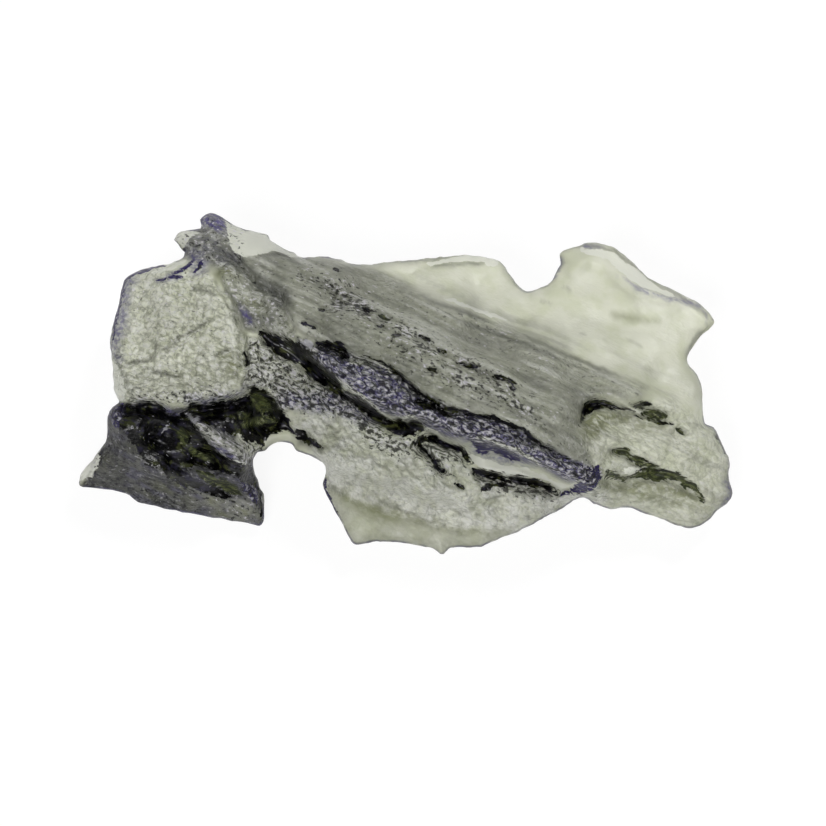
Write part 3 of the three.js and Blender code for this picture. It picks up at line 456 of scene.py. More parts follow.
# Mostly painted shade in grooves, bays and below ledges; darker glass at the foot's corner and end.
SHADE_AREAS = {
    "bulb_band": [
        (-9.5, 6.95), (-8.9, 6.75), (-8.3, 6.45), (-7.7, 6), (-7.25, 5.5), (-6.8, 5.15), (-6.2, 4.95),
        (-5.65, 4.5), (-5.6, 3.7), (-6.15, 3.75), (-6.3, 4.15), (-6.75, 4.35), (-7.4, 4.5), (-7.9, 4.95),
        (-8.35, 5.45), (-8.9, 5.85), (-9.5, 6.15),
    ],
    "foot_corner": [
        (-14.85, -1.45), (-14.6, -1.15), (-14.15, -1.05), (-13.85, -1.25), (-14, -1.7), (-14.2, -2.1),
        (-14.8, -2),
    ],
    "foot_end": [
        (-8.3, -4.75), (-7.6, -5.05), (-7.25, -5.75), (-7, -6.25), (-7.1, -7), (-7.35, -6.7),
        (-7.75, -6.25), (-8.1, -5.65),
    ],
    "knob_groove": [
        (-9.55, 7.1), (-9, 6.8), (-8.45, 6.45), (-8, 6.1), (-7.75, 5.65), (-7.4, 5.1), (-6.85, 4.8),
        (-6.15, 4.45), (-5.9, 3.95), (-6.05, 3.5), (-6.4, 3.75), (-6.85, 4.35), (-7.4, 4.75), (-8, 5.15),
        (-8.55, 5.55), (-9.25, 5.9), (-9.8, 5.65), (-9.7, 6), (-9.3, 6.3), (-9.6, 6.7),
    ],
    "strip_slope": [
        (3.35, -4.6), (5.1, -4.95), (6.85, -5.3), (7.8, -5.65), (7.3, -5.85), (6.45, -5.85), (5.45, -5.55),
        (4.45, -5.25), (3.5, -4.95),
    ],
    "bay_corner": [
        (-5.55, -2.55), (-4.9, -2.55), (-4.25, -3.1), (-4, -3.4), (-4.25, -3.5), (-4.8, -3.25),
        (-5.25, -3.15),
    ],
    "bulb_foot": [(-8.4, 4), (-7.85, 3.75), (-7.2, 3.15), (-7.35, 2.6), (-7.85, 2.7), (-8.2, 3.1)],
}
# Dark olive, mostly inside the hollows and under brows: the glass's own green, dark there with painted shade.
OLIVE_AREAS = {
    "lobe_patch": [
        (10.2, -3.4), (10.75, -3.25), (11.15, -3.3), (11.3, -3.65), (11.9, -3.9), (12.65, -4.2),
        (12.5, -4.35), (12, -4.3), (11.5, -4.1), (10.95, -3.7), (10.5, -3.6),
    ],
    "lobe_crescent": [
        (11.1, -4.8), (11.55, -4.5), (12.25, -4.4), (12.9, -4.5), (13.5, -4.55), (13.95, -4.8),
        (14.5, -5.1), (14.8, -5.55), (15.05, -6), (14.85, -6.05), (14.5, -5.55), (13.95, -5.25),
        (13.45, -4.9), (12.9, -4.9), (12.5, -5.15), (12.25, -4.85), (11.75, -4.75),
    ],
    "lobe_root": [
        (9.95, -4.4), (10.4, -4.45), (10.85, -4.75), (11.2, -4.85), (10.85, -5), (10.4, -4.75),
        (9.95, -4.75),
    ],
    "notch": [(13.5, -2.35), (13.8, -2.35), (14.05, -2.65), (13.7, -2.6)],
    "foot_streak": [
        (-10.6, -4.35), (-10.2, -4.35), (-9.55, -4.65), (-8.9, -4.85), (-8.3, -5.2), (-8.1, -5.65),
        (-8.6, -5.7), (-9.25, -5.3), (-9.9, -5), (-10.35, -4.65),
    ],
    "foot_streak_upper": [
        (-10.85, -3.2), (-10.45, -3.3), (-9.7, -3.8), (-9.6, -4.05), (-10.2, -3.9), (-10.75, -3.6),
    ],
    "foot_green": [(-11.5, -2.45), (-11.15, -2.3), (-10.75, -2.75), (-10.85, -3.2), (-11.2, -3.05)],
    "cave_top": [(-7.75, -0.55), (-7.2, -0.5), (-6.8, -1), (-6.55, -1.45), (-7.2, -1.6), (-7.65, -1.2)],
    "cave_left": [(-8.35, -1.55), (-8, -1.5), (-7.6, -1.7), (-7.95, -1.95), (-8.3, -1.85)],
    "cave_floor": [
        (-8.25, -2.05), (-7.7, -1.85), (-7.1, -1.65), (-6.45, -1.8), (-6.35, -2), (-6.85, -2.05),
        (-7.55, -2.25), (-8.1, -2.3),
    ],
    "lobe_olive": [
        (11.75, -1.55), (12.1, -1.35), (12.65, -1.4), (13.15, -1.65), (12.9, -1.95), (12.35, -1.8),
    ],
    "furrow_olive": [(-1.4, 3.3), (-1, 3.35), (-0.75, 3.1), (-0.85, 2.95), (-1.25, 3.1)],
}
# Light yellow-green glass. Below the brows and in the folds (bowl_top, below_crescent, lobe_fold, apron_fold)
# it is soft painted shade.
MOSS_AREAS = {
    "ring_spot": [
        (-9.5, 1.35), (-9, 1.6), (-8.5, 1.5), (-8.2, 1.15), (-8.15, 0.65), (-8.35, 0.25), (-8.75, 0.35),
        (-9.05, 0.8),
    ],
    "bulb_top": [
        (-9.75, 5.45), (-9.2, 5.9), (-8.75, 5.9), (-8.15, 5.3), (-8.5, 5.2), (-9.05, 5.2), (-9.5, 5.1),
    ],
    "bulb_slope": [(-8.2, 4.1), (-7.55, 4.25), (-6.95, 3.65), (-7, 3.3), (-7.6, 3.65)],
    "bumpy_one": [(-7.45, 1.4), (-6.75, 1.3), (-6.2, 1.1), (-6.55, 1.05), (-7.1, 1.15)],
    "bumpy_two": [(-6, 0.25), (-5.4, 0.1), (-4.75, -0.25), (-4.9, -0.45), (-5.4, -0.25), (-5.85, 0)],
    "sheet_streak": [
        (10.4, 3.4), (11, 3.4), (11.95, 3.25), (12.8, 3), (11.95, 3.05), (11.25, 3.1), (10.5, 3.25),
    ],
    "apron_fold": [
        (-3.82, -5.26), (-2.95, -5.45), (-1.9, -5.74), (-0.95, -6.12), (0.1, -6.4), (0.97, -6.74),
        (2.4, -7.07), (3.93, -7.36), (5.27, -7.36), (4.7, -7.55), (3.36, -7.55), (1.92, -7.36),
        (0.49, -7.07), (-0.95, -6.98), (-2.1, -6.6), (-3.33, -5.83),
    ],
    "bowl_left": [(8.75, -1.6), (9.3, -1.4), (10.2, -1.6), (10.3, -2.1), (9.8, -2.7), (9.2, -3), (8.8, -2.7)],
    "bowl_top": [
        (8.9, -1.6), (9.7, -1.4), (10.6, -1.55), (11.6, -1.85), (12.8, -2.3), (12.2, -2.5), (11, -2.1),
        (10, -1.95), (9.2, -2.2),
    ],
    "below_crescent": [
        (11, -4.95), (12.2, -5), (13.3, -5.1), (14.3, -5.5), (14.95, -6.2), (14.3, -6.2), (13.2, -5.6),
        (12, -5.45), (11, -5.3),
    ],
    "lobe_fold": [
        (9.6, -4.9), (10.35, -5.15), (11.3, -5.2), (12.35, -5.5), (13.5, -5.9), (14.5, -6.1), (13.5, -6.25),
        (12.35, -5.95), (11.2, -5.65), (10.15, -5.45),
    ],
}
# Violet glass.
VIOLET_AREAS = {
    "rib": [
        (-4.25, 1.4), (-3.35, 1.45), (-2.75, 1), (-1.95, 0.75), (-1.1, 0.65), (-0.2, 0.1), (-0.25, 0.2),
        (0.5, -0.75), (1.4, -1), (2.1, -1.4), (2.85, -1.6), (4.45, -1.95), (5.8, -2.5), (6.8, -3.3),
        (8.1, -3.9), (9.1, -4.2), (9.1, -4.7), (8.45, -4.95), (7.3, -4.55), (6.85, -4.2), (5.9, -3.55),
        (5.5, -3.3), (4.85, -3.1), (4.05, -2.75), (2.95, -3.1), (2.3, -2.75), (1.6, -2.5), (1, -2.2),
        (0.4, -1.7), (-0.2, -1.7), (-0.8, -1.65), (-1.3, -1.4), (-1.7, -0.85), (-2.45, -0.5), (-3.1, -0.1),
        (-3.55, 0.45), (-4.05, 0.85),
    ],
    "strip": [
        (3.1, -2.9), (4.05, -2.9), (4.85, -3.2), (5.8, -3.55), (6.5, -4.1), (6.1, -4.3), (5.3, -4.2),
        (4.6, -4.05), (3.9, -3.8), (3.25, -3.55),
    ],
    "cliff_foot": [
        (-6.2, -0.55), (-5.5, -0.5), (-4.8, -0.65), (-4.2, -0.55), (-3.6, -0.4), (-3, -0.75), (-2.4, -1.1),
        (-1.75, -1.75), (-1.5, -2.1), (-2.2, -2), (-3.1, -1.7), (-4, -1.6), (-4.8, -1.5), (-5.7, -1.35),
        (-6.3, -1),
    ],
    "block_rim": [
        (-13.7, 5.45), (-14.15, 5.15), (-14.35, 4.65), (-14.4, 3.9), (-14.65, 3.2), (-14.8, 2.5),
        (-14.8, 1.95), (-14.6, 1.35), (-14.4, 1), (-14.1, 1.1), (-14.3, 1.7), (-14.15, 2.05),
        (-13.9, 2.6), (-13.9, 3.3), (-13.8, 4.1), (-13.75, 4.8), (-13.45, 5.15),
    ],
    "brow_face": [
        (-11, -0.7), (-9.8, -0.75), (-8.3, -0.45), (-7.9, -0.2), (-8.1, -0.75), (-9, -1.05), (-10, -1.2),
        (-10.9, -1.1),
    ],
    "saddle": [(-10.75, 6.5), (-10.2, 6.4), (-9.9, 5.95), (-9.95, 5.45), (-10.6, 5.35), (-10.85, 5.8)],
    "knob_peak": [
        (-10.3, 8.2), (-10.05, 8.45), (-9.7, 8.55), (-9.15, 8.25), (-9, 7.65), (-9.45, 7.7), (-9.8, 7.85),
        (-10.15, 7.9),
    ],
    "lobe_tip": [(15.95, -4.9), (16.2, -4.8), (16.35, -5.25), (16.25, -5.7), (16, -5.35)],
}
# The deepest violet.
INDIGO_AREAS = {
    "foot_end": [(-8.2, -4.9), (-7.7, -4.85), (-7.3, -5.4), (-7.25, -6.1), (-7.6, -6.0), (-8.0, -5.5)],
    "foot_corner": [
        (-14.65, -2.2), (-14.65, -1.6), (-14.4, -1.3), (-14.1, -1.15), (-13.7, -1.25), (-13.85, -1.9),
        (-14.2, -2.4),
    ],
    "strip": [
        (3.07, -2.87), (3.93, -2.96), (4.9, -3.34), (5.75, -3.73), (5.4, -3.95), (4.3, -3.5), (3.75, -3.6),
        (3.35, -3.2),
    ],
    "snout": [
        (7.7, -5.5), (8.45, -5.2), (8.9, -4.75), (9.05, -4.2), (9.6, -4.2), (9.75, -4.7), (9.55, -5.25),
        (9, -5.55), (8.3, -5.6), (7.8, -5.7),
    ],
}
INDIGO_LINES = {
    "saddle_low": [(-12.6, 5.05), (-12.05, 5.15), (-11.5, 5.25), (-10.95, 5.35)],
    "saddle_mid": [(-11.65, 5.4), (-11.1, 5.68), (-10.7, 6.02), (-10.5, 6.22)],
    "saddle_side": [(-10.7, 5.5), (-10.43, 5.69), (-10.2, 5.95), (-10.1, 6.2)],
    "saddle_top": [(-13.5, 5.42), (-12.97, 5.66), (-12.44, 5.76), (-11.9, 5.86)],
    "block_rim": [
        (-12.9, 5.75), (-13.6, 5.5), (-14.1, 5.15), (-14.25, 4.55), (-14.38, 3.75), (-14.58, 2.75),
        (-14.7, 2.1), (-14.6, 1.5),
    ],
    "apron_rim": [(-4.0, -4.6), (-4.0, -5.1), (-3.95, -5.5), (-3.72, -5.95), (-3.43, -6.5), (-3.15, -6.9)],
    "strip_top": [(3.1, -3.02), (3.75, -3.22), (4.4, -3.35), (4.9, -3.5), (5.65, -3.85), (6.05, -4.1)],
    "foot_corner": [(-14.75, -1.9), (-14.8, -1.5), (-14.5, -1.15), (-14.1, -1.1), (-13.95, -1.5)],
}
# Bright glints on lumps and on edges inside the hollows.
GLEAM_AREAS = {
    "crevice_lump": [
        (-5.2, 1.95), (-4.95, 2.1), (-4.65, 2.0), (-4.5, 1.75), (-4.7, 1.6), (-4.8, 1.8), (-5.0, 1.85),
    ],
    "foot_lump": [
        (-10.95, -1.5), (-10.8, -1.75), (-10.7, -1.95), (-10.4, -2.05), (-10.2, -1.85), (-10.3, -1.6),
        (-10.45, -1.75), (-10.6, -1.65), (-10.75, -1.5),
    ],
}
GLEAM_LINES = {
    "foot_corner": [(-14.45, -1.45), (-14.32, -1.68), (-14.2, -1.95)],
    "hollow_one": [(-13.8, -2.25), (-13.45, -2.3), (-13.05, -2.42)],
    "hollow_two": [(-12.35, -2.62), (-12.1, -2.5), (-11.9, -2.3), (-11.65, -2.05)],
    "hollow_three": [(-12.04, -3.45), (-11.85, -3.65), (-11.8, -3.85)],
    "foot_end_two": [(-7.75, -5.6), (-7.68, -5.9), (-7.6, -6.1)],
    "crevice_one": [(-6.3, 1.95), (-6.0, 1.75), (-5.7, 1.7)],
    "crevice_two": [(-3.1, -0.55), (-2.75, -0.68), (-2.4, -0.85)],
}
# The thinnest and palest glass.
PALE_AREAS = {
    "far_lip": [(1.0, 6.1), (2.4, 6.35), (3.4, 6.5), (4.6, 6.2), (4.75, 5.85), (3, 5.8), (1.2, 5.75)],
    "plate": [
        (-9.05, 8.15), (-8.25, 7.7), (-7.05, 7.45), (-6.5, 6.9), (-5.7, 6.55), (-4.95, 6.25), (-5.7, 6.25),
        (-6.55, 6.45), (-7.4, 6.35), (-8, 6.25), (-8.45, 6.45), (-8.8, 6.9), (-8.95, 7.55),
    ],
    "knob_lobe": [
        (-11.7, 7.2), (-11.25, 7.65), (-10.7, 7.6), (-10.2, 7.8), (-10.55, 7.45), (-10.85, 7.2),
        (-11.1, 6.75), (-11.15, 6.35), (-11.35, 6.8),
    ],
    "foot_wing": [
        (-14.85, -2.65), (-15.45, -3.35), (-15.95, -4.05), (-16.4, -4.75), (-16.35, -5), (-15.75, -4.75),
        (-15.4, -4.35), (-15.15, -3.4),
    ],
    "block_sliver": [
        (-14.7, 1.15), (-14.4, 0.85), (-14.05, 0.35), (-13.9, -0.35), (-14.1, -0.95), (-14.7, -0.95),
        (-14.75, 0.2),
    ],
    "lobe_white": [
        (10.85, -4.3), (11.4, -4.15), (12.15, -4.4), (11.75, -4.5), (11.3, -4.7), (10.95, -4.55),
    ],
    "lip_band": [
        (8.7, 6.95), (9.65, 7), (10.65, 6.7), (11.5, 6.1), (12.45, 5.25), (13.9, 4.5), (14.8, 3.95),
        (14.55, 3.95), (13.6, 4.2), (12.8, 4.4), (12.1, 4.55), (11.5, 4.95), (10.85, 5.55), (10.15, 6.15),
        (9.15, 6.45), (8.75, 6.65),
    ],
    "strip": [
        (3.1, -3.55), (4.05, -3.85), (4.85, -4.15), (6.1, -4.3), (6.85, -4.6), (7.1, -4.75), (7.8, -5.15),
        (8.4, -5.1), (7.7, -5.35), (6.85, -4.8), (5.8, -4.7), (4.45, -4.4), (3.45, -4.15),
    ],
}
# Greyer on the block: its lower part, its hem and a blue-grey spot.
GREY_AREAS = {
    "blue_spot": [
        (-10.2, 0.4), (-9.5, 0.55), (-8.8, 0.35), (-8, 0.25), (-7.9, -0.2), (-8.65, -0.3), (-9.5, -0.25),
        (-10.1, 0),
    ],
    "block_low": [
        (-13.5, 0.4), (-12, 0.9), (-10.3, 1.2), (-9.4, 0.9), (-8.2, 0.9), (-7.9, -0.2), (-9, -0.7),
        (-11, -0.8), (-13.5, -0.7),
    ],
    "block_hem": [
        (-13.85, -0.55), (-12.4, -0.35), (-10.65, -0.3), (-8.65, -0.6), (-8.65, -1.1), (-11.25, -1.1),
        (-13.85, -1.05),
    ],
}
# Bright lips along the edges of ledges.
LIP_LINES = {
    "crevice": [
        (-4.3, 0.85), (-3.65, 0.55), (-3.15, -0.05), (-2.45, -0.55), (-1.75, -0.9), (-1.35, -1.45),
        (-0.8, -1.75), (-0.2, -1.85), (0.15, -1.75), (0.5, -1.75), (1, -2.3), (1.6, -2.55), (2.3, -2.85),
        (2.95, -3.15),
    ],
    "strip_top": [
        (3.1, -2.85), (4.05, -2.8), (4.85, -3.15), (5.5, -3.35), (5.9, -3.6), (6.45, -3.95), (6.85, -4.35),
    ],
    "strip_low": [
        (3.45, -4.1), (4.1, -4.35), (5.1, -4.6), (6.1, -4.7), (6.85, -4.75), (7.8, -5.2), (8.4, -5.1),
        (8.8, -4.8),
    ],
    "sheet_edge": [(1.6, 4.3), (2.9, 3.88), (4.2, 3.4), (5.4, 2.95)],
    "rib_top": [(-1.65, 1), (-1.25, 0.9), (-0.85, 0.65), (-0.55, 0.4)],
    "rib_head": [(-2.85, 1), (-2.2, 0.85), (-1.75, 1.1)],
    "foot_ridge": [(-13.95, -2.3), (-13.35, -2.35), (-12.85, -2.7), (-12.25, -2.5), (-11.65, -2.05)],
    "foot_rib_low": [(-9.5, -3.4), (-8.9, -3.8), (-8.25, -4), (-7.75, -4.1)],
    "saddle_one": [(-13, 5.4), (-12.4, 5.55), (-11.7, 5.7), (-11.25, 5.95), (-10.75, 6.25)],
    "saddle_two": [(-12.85, 5.7), (-12.15, 5.8), (-11.6, 6.05), (-11.1, 6.3)],
    "scoop": [(11, -1.25), (11.4, -1.4), (11.75, -1.55), (12, -1.4)],
}
# Narrow furrows, dark with painted shade.
DARK_LINES = {
    "lobe_crescent": [
        (11.25, -4.6), (11.75, -4.42), (12.3, -4.37), (12.95, -4.47), (13.6, -4.65), (14.2, -5),
    ],
    "lobe_patch": [(11.3, -3.65), (11.85, -3.9), (12.3, -4.1), (12.6, -4.25)],
    "lobe_edge": [(15.5, -2.45), (15.75, -2.85), (15.95, -3.3), (16.2, -3.8)],
    "rib_line": [
        (-2.75, 1.8), (-2.3, 1.55), (-1.8, 1.2), (-1.25, 1.05), (-0.75, 0.75), (-0.4, 0.5), (0, 0.1),
        (0.45, -0.4), (1, -0.7), (1.4, -1), (1.95, -1.35), (2.85, -1.5), (3.5, -1.7), (4.45, -1.8),
        (5.1, -2.1), (5.8, -2.35), (6.2, -2.7), (6.8, -3.15), (7.45, -3.55), (8.1, -3.8), (8.8, -4.1),
    ],
    "strip_arc": [(3.65, -5.55), (3.9, -5.3), (4.3, -5.15), (4.85, -5.1), (5.45, -5.25)],
    "small_arc": [(2.45, -5.1), (2.7, -5.1), (3.05, -5.4)],
    "ring": [(-8.15, 1.65), (-7.95, 1.35), (-7.85, 1), (-7.95, 0.75)],
    "foot_edge": [(-14.85, -1.9), (-14.95, -2.6), (-15.1, -3.2), (-15.25, -3.8), (-15.4, -4.4)],
    "foot_end": [(-7.8, -4.0), (-7.5, -4.7), (-7.27, -5.55), (-7.2, -6.35), (-7.3, -6.95)],
}
# Short pits on the ridge, dark with painted shade, most of them in its furrows.
MARK_LINES = {
    "furrow_one": [(-3.65, 5.7), (-3.2, 5.5)],
    "furrow_two": [(-2.5, 3.8), (-2.1, 3.6), (-1.6, 3.35)],
    "furrow_three": [(-0.75, 2.35), (-0.2, 2.35)],
    "furrow_four": [(0.55, 2.4), (1.05, 2.15), (1.4, 1.95)],
    "furrow_five": [(1.55, 1.65), (2.05, 1.4)],
    "furrow_six": [(2.55, 0.95), (3.05, 0.8), (3.8, 0.7)],
    "furrow_seven": [(4.2, 0.3), (4.95, 0.15), (5.7, -0.2)],
    "furrow_eight": [(5.1, -0.3), (5.6, -0.5)],
    "low_one": [(-5.25, 3.05), (-4.85, 2.85), (-4.35, 2.65)],
    "low_two": [(-4.4, 3.7), (-3.9, 3.5)],
    "low_three": [(1.05, 0.65), (1.65, 0.5)],
    "low_four": [(-1.5, 2.8), (-1, 2.7)],
}
# Fine cracks on the block.
CRACK_LINES = {
    "left": [(-12.5, 2.35), (-12.45, 1.7), (-12.55, 1.3), (-12.95, 1.05), (-13.55, 1), (-14.2, 0.8)],
    "middle": [
        (-9.6, 3.2), (-10.1, 2.85), (-10.65, 2.55), (-11.3, 2.2), (-11.45, 2), (-11.85, 1.65), (-12.4, 1.5),
    ],
    "low": [(-12.85, 0.6), (-12.15, 0.45), (-11.6, 0.35), (-11.1, 0.2)],
    "right": [(-9.6, 1.25), (-9, 1.6), (-8.55, 1.6)],
    "top": [(-10.9, 4.65), (-10.3, 4.65), (-9.75, 4.5), (-9.3, 4.25)],
}
# Short scratches on the sheet.
TICK_LINES = {
    "tick_one": [(6.75, 4.1), (7.05, 4.05), (7.35, 3.9)],
    "tick_two": [(7.85, 4.8), (8.15, 4.75), (8.35, 4.55)],
    "tick_three": [(8.7, 2.5), (9.1, 2.35)],
    "tick_four": [(11.1, 2.2), (11.5, 1.95), (11.95, 1.7)],
}
# Violet edges.
VIOLET_LINES = {
    "lip_inner": [
        (10.65, 5.35), (11.1, 5.2), (11.55, 4.8), (12.2, 4.5), (12.8, 4.35), (13.6, 4.15), (14.55, 3.95),
        (15.1, 3.5), (15.2, 2.75),
    ],
    "lip_top": [(8.75, 6.85), (9.4, 6.8), (10, 6.8)],
    "lip_side": [(7.85, 6.45), (7.75, 5.9), (7.55, 5.3), (7.25, 4.95)],
    "saddle_low": [(-12.65, 5.1), (-12.05, 5.05), (-11.6, 5.2), (-11.1, 5.2)],
    "saddle_mid": [(-12.15, 5.25), (-11.5, 5.45), (-10.85, 5.8)],
    "lobe_edge": [(16.2, -4.3), (16.22, -5.0), (16.25, -5.5), (16.05, -6.0), (15.7, -6.4)],
    "bulb_side_one": [(-8.25, 3.9), (-7.95, 3.3), (-7.6, 2.8)],
    "foot_rib": [(-9.8, -2.95), (-9.45, -3.3), (-8.9, -3.55), (-8.3, -3.9)],
    "foot_top": [(-13.85, -1.25), (-13.1, -1.05), (-12.15, -1.2), (-11.5, -1.7), (-10.75, -2.05)],
}
# Faint grey edges.
FAINT_LINES = {
    "bulb_line": [
        (-8.42, 6.44), (-7.92, 6.11), (-7.6, 5.36), (-7.26, 4.9), (-6.6, 4.7), (-6.02, 4.37),
        (-5.93, 3.79), (-5.6, 3.13), (-5.4, 2.46),
    ],
    "foot_lower": [(-14.3, -5.4), (-13.2, -5.8), (-12.2, -6.15), (-9.9, -6.6), (-7.4, -6.95)],
    "ring_inner": [(-8.4, 1.6), (-8.2, 1.3), (-8.12, 1), (-8.15, 0.7)],
    "block_left": [(-14.72, 1.8), (-14.5, 1.3), (-14.3, 0.8), (-13.98, 0.2), (-13.8, -0.55)],
    "fold_left": [(-4.0, -5.16), (-3.5, -5.4), (-2.95, -5.64)],
    "fold_mark": [(-1.5, -5.9), (-0.75, -6.17), (-0.05, -6.42)],
    "bay_lip": [(7.85, 6.5), (7.75, 6.0), (7.6, 5.6), (7.3, 5.2), (6.9, 4.85)],
    "lip_outer": [
        (8.0, 6.6), (8.7, 6.85), (9.8, 6.85), (10.55, 6.57), (11.3, 6.08), (12.6, 5.02), (13.9, 4.28),
        (14.9, 3.55), (15.35, 3.05),
    ],
    "sheet_tip": [(15.2, 2.75), (14.6, 2.2), (14.2, 1.55), (14.1, 1.1)],
    "far_streak": [(1.0, 5.75), (2.2, 5.9), (3.2, 6.0), (4.3, 5.95)],
    "sheet_line_one": [(0.4, 4.45), (1.5, 3.95), (3.0, 3.45), (4.6, 2.9)],
    "sheet_line_two": [(2.6, 3.1), (4.6, 2.4), (6.4, 1.75), (8.0, 1.0)],
    "sheet_line_three": [(5.2, 2.7), (7.0, 1.85), (9.2, 0.85), (11.2, 0.1)],
    "plate_edge": [(-7.85, 6.1), (-7.3, 6.3), (-6.6, 6.45), (-5.9, 6.3)],
    "block_edge": [(-9.05, 4.65), (-8.55, 4.15), (-8.6, 3.7), (-8.5, 3.1), (-8.15, 2.55), (-8, 2.2)],
    "bulb_edge": [(-9.05, 4.8), (-8.9, 4.45), (-8.5, 4.1), (-7.8, 3.75)],
    "foot_facet": [
        (-14.15, -2.3), (-13.85, -2.9), (-13.3, -3.6), (-12.85, -4.35), (-12.15, -4.65), (-11.5, -5.05),
    ],
    "lobe_rim": [
        (14.9, -2.1), (15.45, -2.4), (15.8, -2.95), (16.2, -3.75), (16.3, -4.15), (16.2, -4.9),
        (16.35, -5.25), (16.25, -5.85), (15.65, -6.45),
    ],
    "sheet_far": [(-0.6, 6), (0.4, 6.1), (1.4, 6.2), (2.65, 6.4)],
}

# Places peppered with black pits: specks of painted shade.
PEPPER_AREAS = {
    "cave_edge": [(-8.2, -2.6), (-7.4, -2.9), (-6.9, -3.5), (-7.2, -4.2), (-7.7, -3.6), (-8.2, -3.1)],
    "cliff_foot": VIOLET_AREAS["cliff_foot"],
    "block_hem": [
        (-13.7, -0.6), (-12, -0.75), (-10.5, -0.45), (-9, -0.45), (-8, -0.5), (-8.3, -0.9),
        (-10.5, -1.15), (-12.5, -1), (-13.7, -1),
    ],
    "below_crevice": [
        (-3.6, -0.8), (-2.9, -0.8), (-2.2, -1.3), (-1.4, -1.9), (-0.5, -2.6), (0.3, -2.8), (1, -2.6),
        (1.7, -2.8), (2.5, -3.1), (3.1, -3.7), (3.4, -4.3), (2.6, -4.1), (2.1, -4), (2.3, -4.7),
        (1.7, -4.7), (0.8, -3.8), (0.2, -3.6), (-0.4, -3.8), (-1.5, -3.3), (-2.1, -2.6), (-2.9, -1.6),
    ],
    "strip_slope": [
        (3.35, -4.3), (5.1, -4.7), (6.85, -5.1), (7.8, -5.65), (7.3, -5.85), (6.45, -5.85), (5.45, -5.6),
        (4.45, -5.35), (3.5, -5.1),
    ],
    "rib_low": [
        (0.2, -0.6), (1.5, -1), (3.2, -1.7), (4.9, -2.2), (4.6, -2.7), (3, -2.3), (1.5, -1.8),
        (0.3, -1.3),
    ],
}

# Furrows of the ridge that are full of bright and dark specks, painted glints and painted shade in pits, with
# the half width of each.
SPECKLED_FURROWS = ((UPPER_FURROW, 0.5), (MIDDLE_FURROW, 0.35), (TOP_FURROW, 0.4))

# The areas, with how softly each ends.
AREAS = {
    "block": (BLOCK_AREA, 0.2),
    "foot": (FOOT_AREA, 0.15),
    "facet": (FACET_AREA, 0.2),
    "knob": (KNOB_AREA, 0.3),
    "ridge": (RIDGE_AREA, 0.3),
    "rib": (RIB_AREA, 0.2),
    "bumpy": (BUMPY_AREA, 0.25),
    "bulb": (BULB_AREA, 0.25),
    "apron": (APRON_AREA, 0.2),
    "hem": (APRON_HEM, 0.35),
    "sheet": (SHEET_AREA, 0.45),
    "lobe": (LOBE_AREA, 0.3),
}

# How grey and violet the glass of each area is, how speckled with painted glints and painted shade in pits,
# how peppered with pits of painted shade, how strongly its granules show, how much its crests are frosted
# and lit with painted highlight, and how much painted shade darkens its pits.
GREY = {"ridge": 0.78, "rib": 0.85, "bulb": 0.65, "knob": 1.0, "foot": 1.0, "facet": 0.9, "foot rib": -0.5,
        "bumpy": 0.3, "lobe": 0.1, "hem": 0.3}
VIOLET = {"knob": 0.3, "ridge": 0.05, "rib": 0.42, "bulb": 0.12, "facet": 0.05, "foot": 0.2, "bumpy": 0.12}
SPECK = {"ridge": 0.13, "rib": 0.85, "bumpy": 0.8, "furrows": 0.85, "bulb": 0.6, "knob": 0.4, "block": 0.15,
         "facet": 0.25, "foot": 0.6, "foot rib": 0.6, "lobe": 0.1, "apron": 0.08, "hem": 0.03}
PEPPER = {"rib": 1.1, "furrows": 0.8, "facet": 0.7, "foot": 0.4, "ridge": 0.4, "knob": 0.4, "bumpy": 0.9}
CELLS = {"block": 0.7, "apron": 0.45, "bulb": 0.6, "bumpy": 1.0, "lobe": 0.4, "rib": 0.7, "ridge": 0.15,
         "knob": 0.5, "hem": 0.15, "facet": 0.12, "foot rib": 0.5}
CREST_FROST_AND_HIGHLIGHT = {"apron": 0.6, "block": 0.6, "ridge": 0.3, "rib": 0.5, "bumpy": 0.9, "bulb": 0.4,
               "lobe": 0.5, "knob": 0.4, "foot rib": 0.5}
PIT_SHADE = {"block": 0.3, "ridge": 0.4, "rib": 1.0, "bumpy": 1.0, "apron": 0.35, "lobe": 0.5,
             "foot": 0.8, "knob": 0.6, "bulb": 0.45, "facet": 0.8, "sheet": 0.1}

TINTS = (
    "dark", "shade", "olive", "moss", "violet", "indigo", "grey", "frost_and_highlight", "pale", "speck", "pepper", "cells",
    "gleam",
)


def hex_colour(text):
    """An sRGB hex colour as linear red, green, blue and full alpha."""
    parts = [int(text[i : i + 2], 16) / 255 for i in (0, 2, 4)]
    return [p / 12.92 if p <= 0.04045 else ((p + 0.055) / 1.055) ** 2.4 for p in parts] + [1.0]


def smooth(x):
    """An even S-curve from 0 to 1: 3x squared less 2x cubed."""
    x = np.clip(x, 0, 1)
    return x * x * (3 - 2 * x)


def ramp(x, low, high):
    """0 below low, 1 above high and an S-curve between."""
    return smooth((x - low) / (high - low))


def rounded(x):
    """A quarter circle: how far the glass has opened at this share of the rounded edge."""
    return np.sqrt(1 - (1 - np.clip(x, 0, 1)) ** 2)


def along_curve(points, index):
    """The places at fractional indices along a Catmull-Rom curve: each stretch is the cubic that passes
    through its two ends with the slope of the chord between their neighbours."""
    points = np.asarray(points, float)
    last = len(points) - 1
    i = np.clip(np.floor(index).astype(int), 0, last - 1)
    t = (index - i)[:, None]
    before, here, after, beyond = (points[np.clip(i + k, 0, last)] for k in (-1, 0, 1, 2))
    slope = after - before
    bend = 2 * before - 5 * here + 4 * after - beyond
    twist = 3 * (here - after) + beyond - before
    return here + 0.5 * t * (slope + t * (bend + t * twist))


